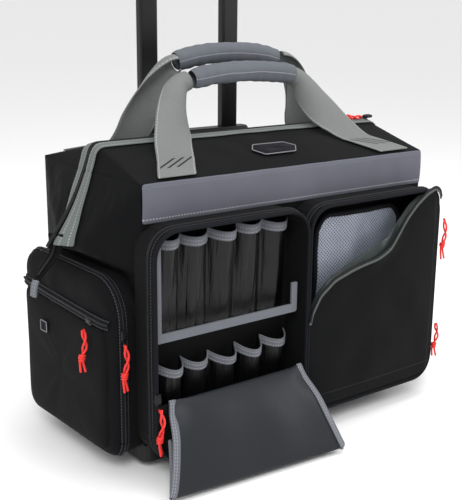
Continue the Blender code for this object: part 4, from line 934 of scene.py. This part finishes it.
def lipAt(x):
    for (x0, z0), (x1, z1) in zip(lipPoints, lipPoints[1:]):
        if x <= x1:
            share = max(0.0, (x - x0) / (x1 - x0))
            return z0 + (z1 - z0) * share
    return lipPoints[-1][1]


def rounding(gap, corner):
    # how far a rounded corner of this radius cuts in, this near to the edge
    return corner - sqrt(corner**2 - (corner - gap)**2) if gap < corner else 0.0


def coverPoint(u, v, lift=0.0):
    left, rightEdge = coverLow.x + 0.001, coverHigh.x - 0.001
    x = left + (rightEdge - left) * u
    bottom = coverLow.z - coverForm["foot"]
    for edge in (left, rightEdge):
        bottom += rounding(abs(x - edge), coverForm["corner"])
    top = lipAt(x) - rounding(rightEdge - x, coverForm["topCorner"])
    z = bottom + (top - bottom) * v
    puff = coverForm["puff"] * sin(pi * min(1, u)) ** 0.7
    puff *= sin(pi * min(1, max(0, v * 0.98 + 0.01))) ** 0.6
    curl = coverForm["curl"] * exp(-((x - 0.105) / 0.030) ** 2) * max(0.0, (v - 0.86) / 0.14) ** 2
    ripple = crumple((x, z, 5), 0.05, coverForm["ripple"]) * sin(pi * u) * sin(pi * v) ** 0.5
    y = pocketY - 0.0015 - puff - curl - ripple * 0.7 - lift
    return at(x, y, z)


def coverMarks(place, along, across):
    x, _, z = place.parts()
    edge = near(x, coverHigh.x + middle.x - 0.009, 0.0005) * dashes(z)
    foot = near(z, coverLow.z + 0.004, 0.0005) * dashes(x)
    return [(edge.most(foot), darkThread, 0.6)]


coverFinish = finish("cover_cloth", {**blackCloth, "creases": 14, "creaseHeight": 0.002}, coverMarks)
rows = [[coverPoint(k / 48, j / 30) for k in range(49)] for j in range(31)]
addGrid("cover_cloth", rows, coverFinish, thick=-0.0022, body="right_cover",
    stands=["right_pocket_flap"], out=(0, -1, 0))
facingFinish = finish("cover_lining", {**lining, "colour": colour(40, 46, 46), "rough": 0.4, "vary": 0.9,
    "patch": 60, "creaseHeight": 0.002})
lipFinish = finish("lip_binding", {**webbing, "colour": colour(58, 62, 60)}, seamLines([0.0], colour(100,
    104, 100)))
lip = evenly([coverPoint(k / 96, 1.0, 0.0005) for k in range(97)], 0.004)
facing = []
for j in range(5):
    row = []
    for k in range(49):
        u = k / 48
        show = sin(pi * u) ** 0.8 * (0.010 + 0.007 * exp(-((u - 0.48) / 0.12) ** 2))
        row.append(coverPoint(u, 1.0) + Vector((0, 0.0018 + 0.006 * j / 4, show * j / 4 - 0.002
            + crumple((u * 3, j * 0.1, 1), 0.2, 0.0015))))
    facing.append(row)
addGrid("lip_facing", facing, facingFinish, thick=-0.0012, body="right_cover", out=(0, -1, 0))
addBand("lip_tape", lip, lambda index: Vector((0.25, -1, 0.5)), 0.004, lipFinish, "right_cover", 0.0016)
addTube("lip_coil", [point + Vector((0, -0.001, 0.0038)) for point in lip], 0.0017, zipFinish, "right_cover",
    6)
print("cover")


netForm = {"corner": 0.018, "belly": 0.004, "ripple": 0.003, "hole": 0.0046, "share": 0.27, "binding": 0.0034}
meshLow, meshHigh = localBox("mesh_pocket")


def netMarks(place, along, across):
    x, _, z = place.parts()
    slanted, other = (x + z) / netForm["hole"], (x - z) / netForm["hole"]
    holes = near(slanted.saw(), 0.5, netForm["share"]) * near(other.saw(), 0.5, netForm["share"])
    return [(holes, colour(62, 68, 82), 0.6)]


netFinish = finish("net", netting, netMarks)
rows = []
for j in range(25):
    v = j / 24
    row = []
    for k in range(29):
        u = k / 28
        x = meshLow.x + (meshHigh.x - meshLow.x) * u
        z = meshLow.z + (meshHigh.z - meshLow.z) * v
        corner = max(0.0, (z - meshHigh.z + 0.03) / 0.03) * max(0.0, abs(u - 0.5) * 2 - 0.72) / 0.28
        z -= netForm["corner"] * corner ** 2
        y = meshLow.y - netForm["belly"] * sin(pi * u) * (0.4 + 0.6 * v) - crumple((x, z, 9), 0.03,
            netForm["ripple"])
        row.append(at(x, y + 0.002, z))
    rows.append(row)
addGrid("net_front", rows, netFinish, thick=-0.001, stands=["mesh_pocket"], out=(0, -1, 0))
edge = [rows[j][0] for j in range(25)] + rows[-1] + [rows[j][-1] for j in range(24, -1, -1)]
addTube("net_binding", evenly(edge, 0.004), netForm["binding"], pipeFinish)
back = [[point + Vector((0, -(point.y - at(0, frontY - 0.001, 0).y), 0)) for point in row] for row in rows]
addGrid("net_back", back, liningFinish, thick=-0.001, out=(0, -1, 0))
print("mesh pocket")


def endOutline(low, high, radii, count=72):
    # a rounded outline in YZ, from its front foot corner round the back, evenly spaced
    line = [Vector((0, y, z)) for y, z in rounded(low.y, high.y, low.z, high.z, radii, 8)]
    line.append(line[0].copy())
    return evenly(line, sum((b - a).length for a, b in zip(line, line[1:])) / count)[:-1]


def addPillow(name, sign, outline, base, profile, look, body, seed, ripple=0.003, stands=()):
    # rings of the outline, each moved in and out by the profile's (inset, rise) pairs
    centre = sum(outline, Vector()) / len(outline)
    shortest = min((point - centre).length for point in outline)
    rows = []
    for inset, rise in profile:
        row = []
        for point in outline:
            away = point - centre
            share = min(1.0, max(inset, 0) / shortest)
            even = shortest / away.length
            spot = centre + away * max(0.01, 1 - inset / shortest * (even + (1 - even) * share))
            soft = min(1.0, inset / 0.02)
            out = base + rise + crumple((spot.y, spot.z, seed), 0.034, ripple) * soft \
                + crumple((spot.y * 1.6, spot.z, seed + 3), 0.017, ripple * 0.4) * soft
            row.append(at(sign * out, spot.y, spot.z))
        rows.append(row)
    if sign < 0:
        rows = [row[::-1] for row in rows]
    return addGrid(name, rows, look, loop=True, body=body, stands=stands)


# The door's section: how far in from its edge, and how far out
doorShape = [(0.006, 0.0), (0.0005, 0.0), (-0.001, 0.005), (0.0015, 0.009), (0.006, 0.0125), (0.014, 0.0145),
    (0.030, 0.0158), (0.055, 0.0163), (0.075, 0.0165), (0.097, 0.0165)]
pocketForm = {"side": 0.009, "foot": 0.007, "top": 0.047, "tilt": 0.04, "mouthTape": 0.011,
    "roundTape": 0.010}
for name, sign in (("left", -1), ("right", 1)):
    doorLow, doorHigh = localBox(f"{name}_end_pocket_door")
    edges = sorted(abs(value) for value in (doorLow.x, doorHigh.x))
    outline = endOutline(doorLow, doorHigh, [0.020, 0.020, 0.021, 0.042])
    addPillow(f"{name}_gusset_cloth", sign, outline, 0, [(0.003, halfLength), (0.0, halfLength + 0.003),
        (-0.002, halfLength + 0.012), (0.0005, edges[0] - 0.002), (0.004, edges[0] - 0.001)], blackFinish,
        "bag", 11, 0.0, [f"{name}_end_pocket_gusset"])
    addPillow(f"{name}_door_cloth", sign, outline, edges[0], doorShape, blackFinish, f"{name}_door",
        13 + sign,
        0.0035, [f"{name}_end_pocket_door"])
    pouchLow, pouchHigh = doorLow.copy(), doorHigh.copy()
    pouchLow += Vector((0, pocketForm["side"], pocketForm["foot"]))
    pouchHigh.y -= pocketForm["side"]
    pouchHigh.z = doorHigh.z - pocketForm["top"]
    pouch = endOutline(pouchLow, pouchHigh, [0.016, 0.016, 0.005, 0.005])
    for point in pouch:
        if point.z > pouchHigh.z - 0.03:
            point.z += (point.y - pouchLow.y) * pocketForm["tilt"] - 0.003
    addPillow(f"{name}_pouch_cloth", sign, pouch, edges[0] + 0.0115,
        [(0.0, 0.0), (0.0, 0.0035), (0.003, 0.0062), (0.012, 0.0080), (0.03, 0.0092), (0.06, 0.0098),
        (0.08, 0.0098)], blackFinish, f"{name}_door", 23 + sign, 0.0022)
    mouth = []
    for k in range(31):
        share = k / 30
        y = doorLow.y + 0.004 + (doorHigh.y - doorLow.y - 0.008) * share
        inset = min(y - doorLow.y, doorHigh.y - y)
        rise = next(after[1] for after in doorShape[2:] if after[0] >= min(inset, 0.09))
        mouth.append(at(sign * (edges[0] + rise + 0.0008), y, pouchHigh.z + 0.003 + 0.008 * share))
    addZip(f"{name}_mouth", mouth, (sign, 0, 0.25), f"{name}_door", pocketForm["mouthTape"])
    ring = [at(sign * (edges[0] - 0.0005), point.y, point.z) for point in outline + outline[:1]]
    centre = at(sign * edges[0], (doorLow.y + doorHigh.y) / 2, (doorLow.z + doorHigh.z) / 2)
    facing = [(Vector((0, point.y - centre.y, point.z - centre.z))).normalized() for point in ring]
    lifted = [point + out * 0.0012 for point, out in zip(ring, facing)]
    addZip(f"{name}_round", lifted, lambda index, facing=facing: facing[index], "bag",
        pocketForm["roundTape"])
print("end pockets")


tailForm = {"wide": 0.021, "taper": 0.013, "tab": 0.0056, "gap": 0.0022, "coil": 0.0018}
tailLow = localBox("zip_tail")[0]
tailTop = endPoint(-1, 0, bulgeZ + 0.014, 0.001) - middle
tailLine = curveThrough([at(*tailTop), at(tailTop.x - 0.004, -0.002, bulgeZ - 0.008),
    at(tailLow.x + 0.003, -0.005, tailLow.z + 0.019),
    at(tailLow.x - 0.002, -0.006, tailLow.z + 0.001)], 6)


def tailWidth(share):
    return tailForm["wide"] - tailForm["taper"] * min(1, share * 1.1)


tailFacing = (-0.8, -0.35, 0.45)
addBand("tail_cloth", tailLine[:14], tailFacing, tailWidth, blackFinish, "zip_tail", 0.002)
for turn in (-1, 1):
    strip = [point + Vector((0, turn * tailForm["gap"], 0)) for point in tailLine[12:]]
    tab = addBand(f"tail_tab_{turn + 1}", strip, tailFacing, tailForm["tab"], webFinish, "zip_tail", 0.0026,
        0.0004)
addTube("tail_coil", [point + Vector(tailFacing) * 0.003 for point in tailLine[:12]], tailForm["coil"],
    zipFinish,
    "zip_tail", 6)
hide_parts("zip_tail")

labelForm = {"thick": 0.0012, "edge": 0.0008}
patchFinish = finish("label_patch", {**blackCloth, "colour": colour(24, 24, 28)})
edgeFinish = finish("label_edge", {**webbing, "colour": colour(112, 112, 116)})


def addLabel(name, corners, body, lift=0.0014):
    # a flat patch with a raised edge, through its corners in order
    corners = [Vector(corner) for corner in corners]
    centre = sum(corners, Vector()) / len(corners)
    normal = (corners[1] - corners[0]).cross(corners[2] - corners[0]).normalized()
    rim = evenly(corners + corners[:1], 0.002)
    rows = [[centre.lerp(point, share) + normal * lift for point in rim[:-1]] for share in (0.05, 0.5, 1.0)]
    addGrid(name, rows, patchFinish, loop=True, thick=-labelForm["thick"], smooth=0, body=body, out=normal)
    addTube(f"{name}_edge", [point + normal * lift for point in rim], labelForm["edge"], edgeFinish, body, 6)


def onRoof(x, y, lift=0.0016):
    depth = depthOf(-1)
    return roofPoint(-1, x, (depth - abs(y)) / (depth - 0.004), lift)


roofCorners = ((-0.036, -0.062), (-0.026, -0.075), (0.020, -0.075), (0.030, -0.062), (0.020, -0.050),
    (-0.026, -0.050))
pouchCorners = ((0.041, 0.139), (0.027, 0.139), (0.027, 0.151), (0.041, 0.151))
pouchFace = halfLength + 0.0003 + 0.0247 + 0.0225
addLabel("roof_label", [onRoof(x, y) for x, y in roofCorners], "front_roof")
addLabel("pouch_label", [at(-pouchFace, y, z) for y, z in pouchCorners], "left_door")
print("labels")

bandForm = {"bow": 0.0012, "ripple": 0.001, "stitch": 0.004}
bandLow, bandHigh = localBox("front_band")


def bandMarks(place, along, across):
    x, _, z = place.parts()
    return [(near(z, bandLow.z + 0.0042, 0.0006) * dashes(x, bandForm["stitch"]), colour(150, 150, 156), 0.6),
        (near(z, bandHigh.z - 0.0035, 0.0004) * dashes(x, bandForm["stitch"]), colour(100, 100, 108), 0.6)]


bandFinish = finish("band_cloth", {**greyCloth, "creases": 30, "creaseHeight": 0.0005}, bandMarks)
rows = []
for j in range(9):
    z = bandLow.z - 0.001 + (bandHigh.z - bandLow.z + 0.002) * j / 8
    bow = sin(pi * j / 8) * bandForm["bow"]
    rows.append([at(bandLow.x + (bandHigh.x - bandLow.x) * k / 60, bandLow.y + 0.0004 - bow
        - crumple((k / 60, z, 4), 0.05, bandForm["ripple"]), z) for k in range(61)])
addGrid("band_cloth", rows, bandFinish, thick=-0.0018, stands=["front_band"], out=(0, -1, 0))

# Pieces that stay as the frame has them, each with its material
plainBinding = finish("plain_binding", bindingLook)
hubFinish = finish("hub_plastic", {**moulded, "colour": colour(60, 60, 63)})
tyreFinish = finish("tyre_rubber", rubberLook)
axleFinish = finish("axle_steel", steelLook)
sliderFinish = finish("slider_metal", {**moulded, "colour": colour(30, 30, 32), "rough": 0.35, "metal": 0.5})
looks = {"front_panel": blackFinish, "back_panel": blackFinish, "organizer_gusset": blackFinish,
    "right_pocket_gusset": blackFinish, "pouch_board_binding": plainBinding, "base_tray": mouldedFinish,
    "rail_bezel": mouldedFinish, "pull_grip": mouldedFinish, "wheel_axle": axleFinish,
    "release_button": hubFinish}
for node, look in (("rail_sleeve", tubeFinish), ("lower_rail", tubeFinish), ("upper_rail", tubeFinish),
        ("wheel_housing", mouldedFinish), ("wheel_hub", hubFinish), ("wheel_tyre", tyreFinish)):
    looks.update({f"{node}_{side}": look for side in ("left", "right")})
looks.update({f"{name}_slider": sliderFinish for name in pulls})
for node, look in looks.items():
    kept = frame["nodes"][node]
    kept.data.materials.clear()
    kept.data.materials.append(look)
print("kept pieces")


def addLight(name, place, aim, size, power):
    lamp = placed(name, bpy.data.lights.new(name, "AREA"))
    lamp.location = place
    lamp.rotation_euler = (Vector(aim) - Vector(place)).to_track_quat("-Z", "Y").to_euler()
    lamp.data.size = size
    lamp.data.energy = power


studio = {"reach": 60.0, "level": -0.0006, "floor": 0.9, "sky": 0.9}
lamps = {"key": ((-1.3, -1.5, 1.7), 0.9, 32), "top": ((0.2, -0.2, 2.0), 0.8, 14), "side": ((1.5, -1.0, 0.9),
    0.7, 10)}
floorMesh = bpy.data.meshes.new("floor")
floorMesh.from_pydata([(x * studio["reach"], y * studio["reach"], studio["level"])
    for x, y in ((-1, -1), (1, -1), (1, 1), (-1, 1))], [], [(0, 1, 2, 3)])
floor = placed("floor", floorMesh)
pale = bpy.data.materials.new("floor")
pale.use_nodes = True
paleShader = pale.node_tree.nodes["Principled BSDF"]
paleShader.inputs["Base Color"].default_value = (studio["floor"],) * 3 + (1,)
paleShader.inputs["Roughness"].default_value = 0.9
floorMesh.materials.append(pale)
world = bpy.data.worlds.new("studio")
bpy.context.scene.world = world
world.use_nodes = True
world.node_tree.nodes["Background"].inputs["Color"].default_value = (1, 1, 1, 1)
world.node_tree.nodes["Background"].inputs["Strength"].default_value = studio["sky"]
for name, (place, size, power) in lamps.items():
    addLight(name, place, (0, 0, 0.2), size, power)
bpy.context.scene.view_settings.view_transform = "Standard"
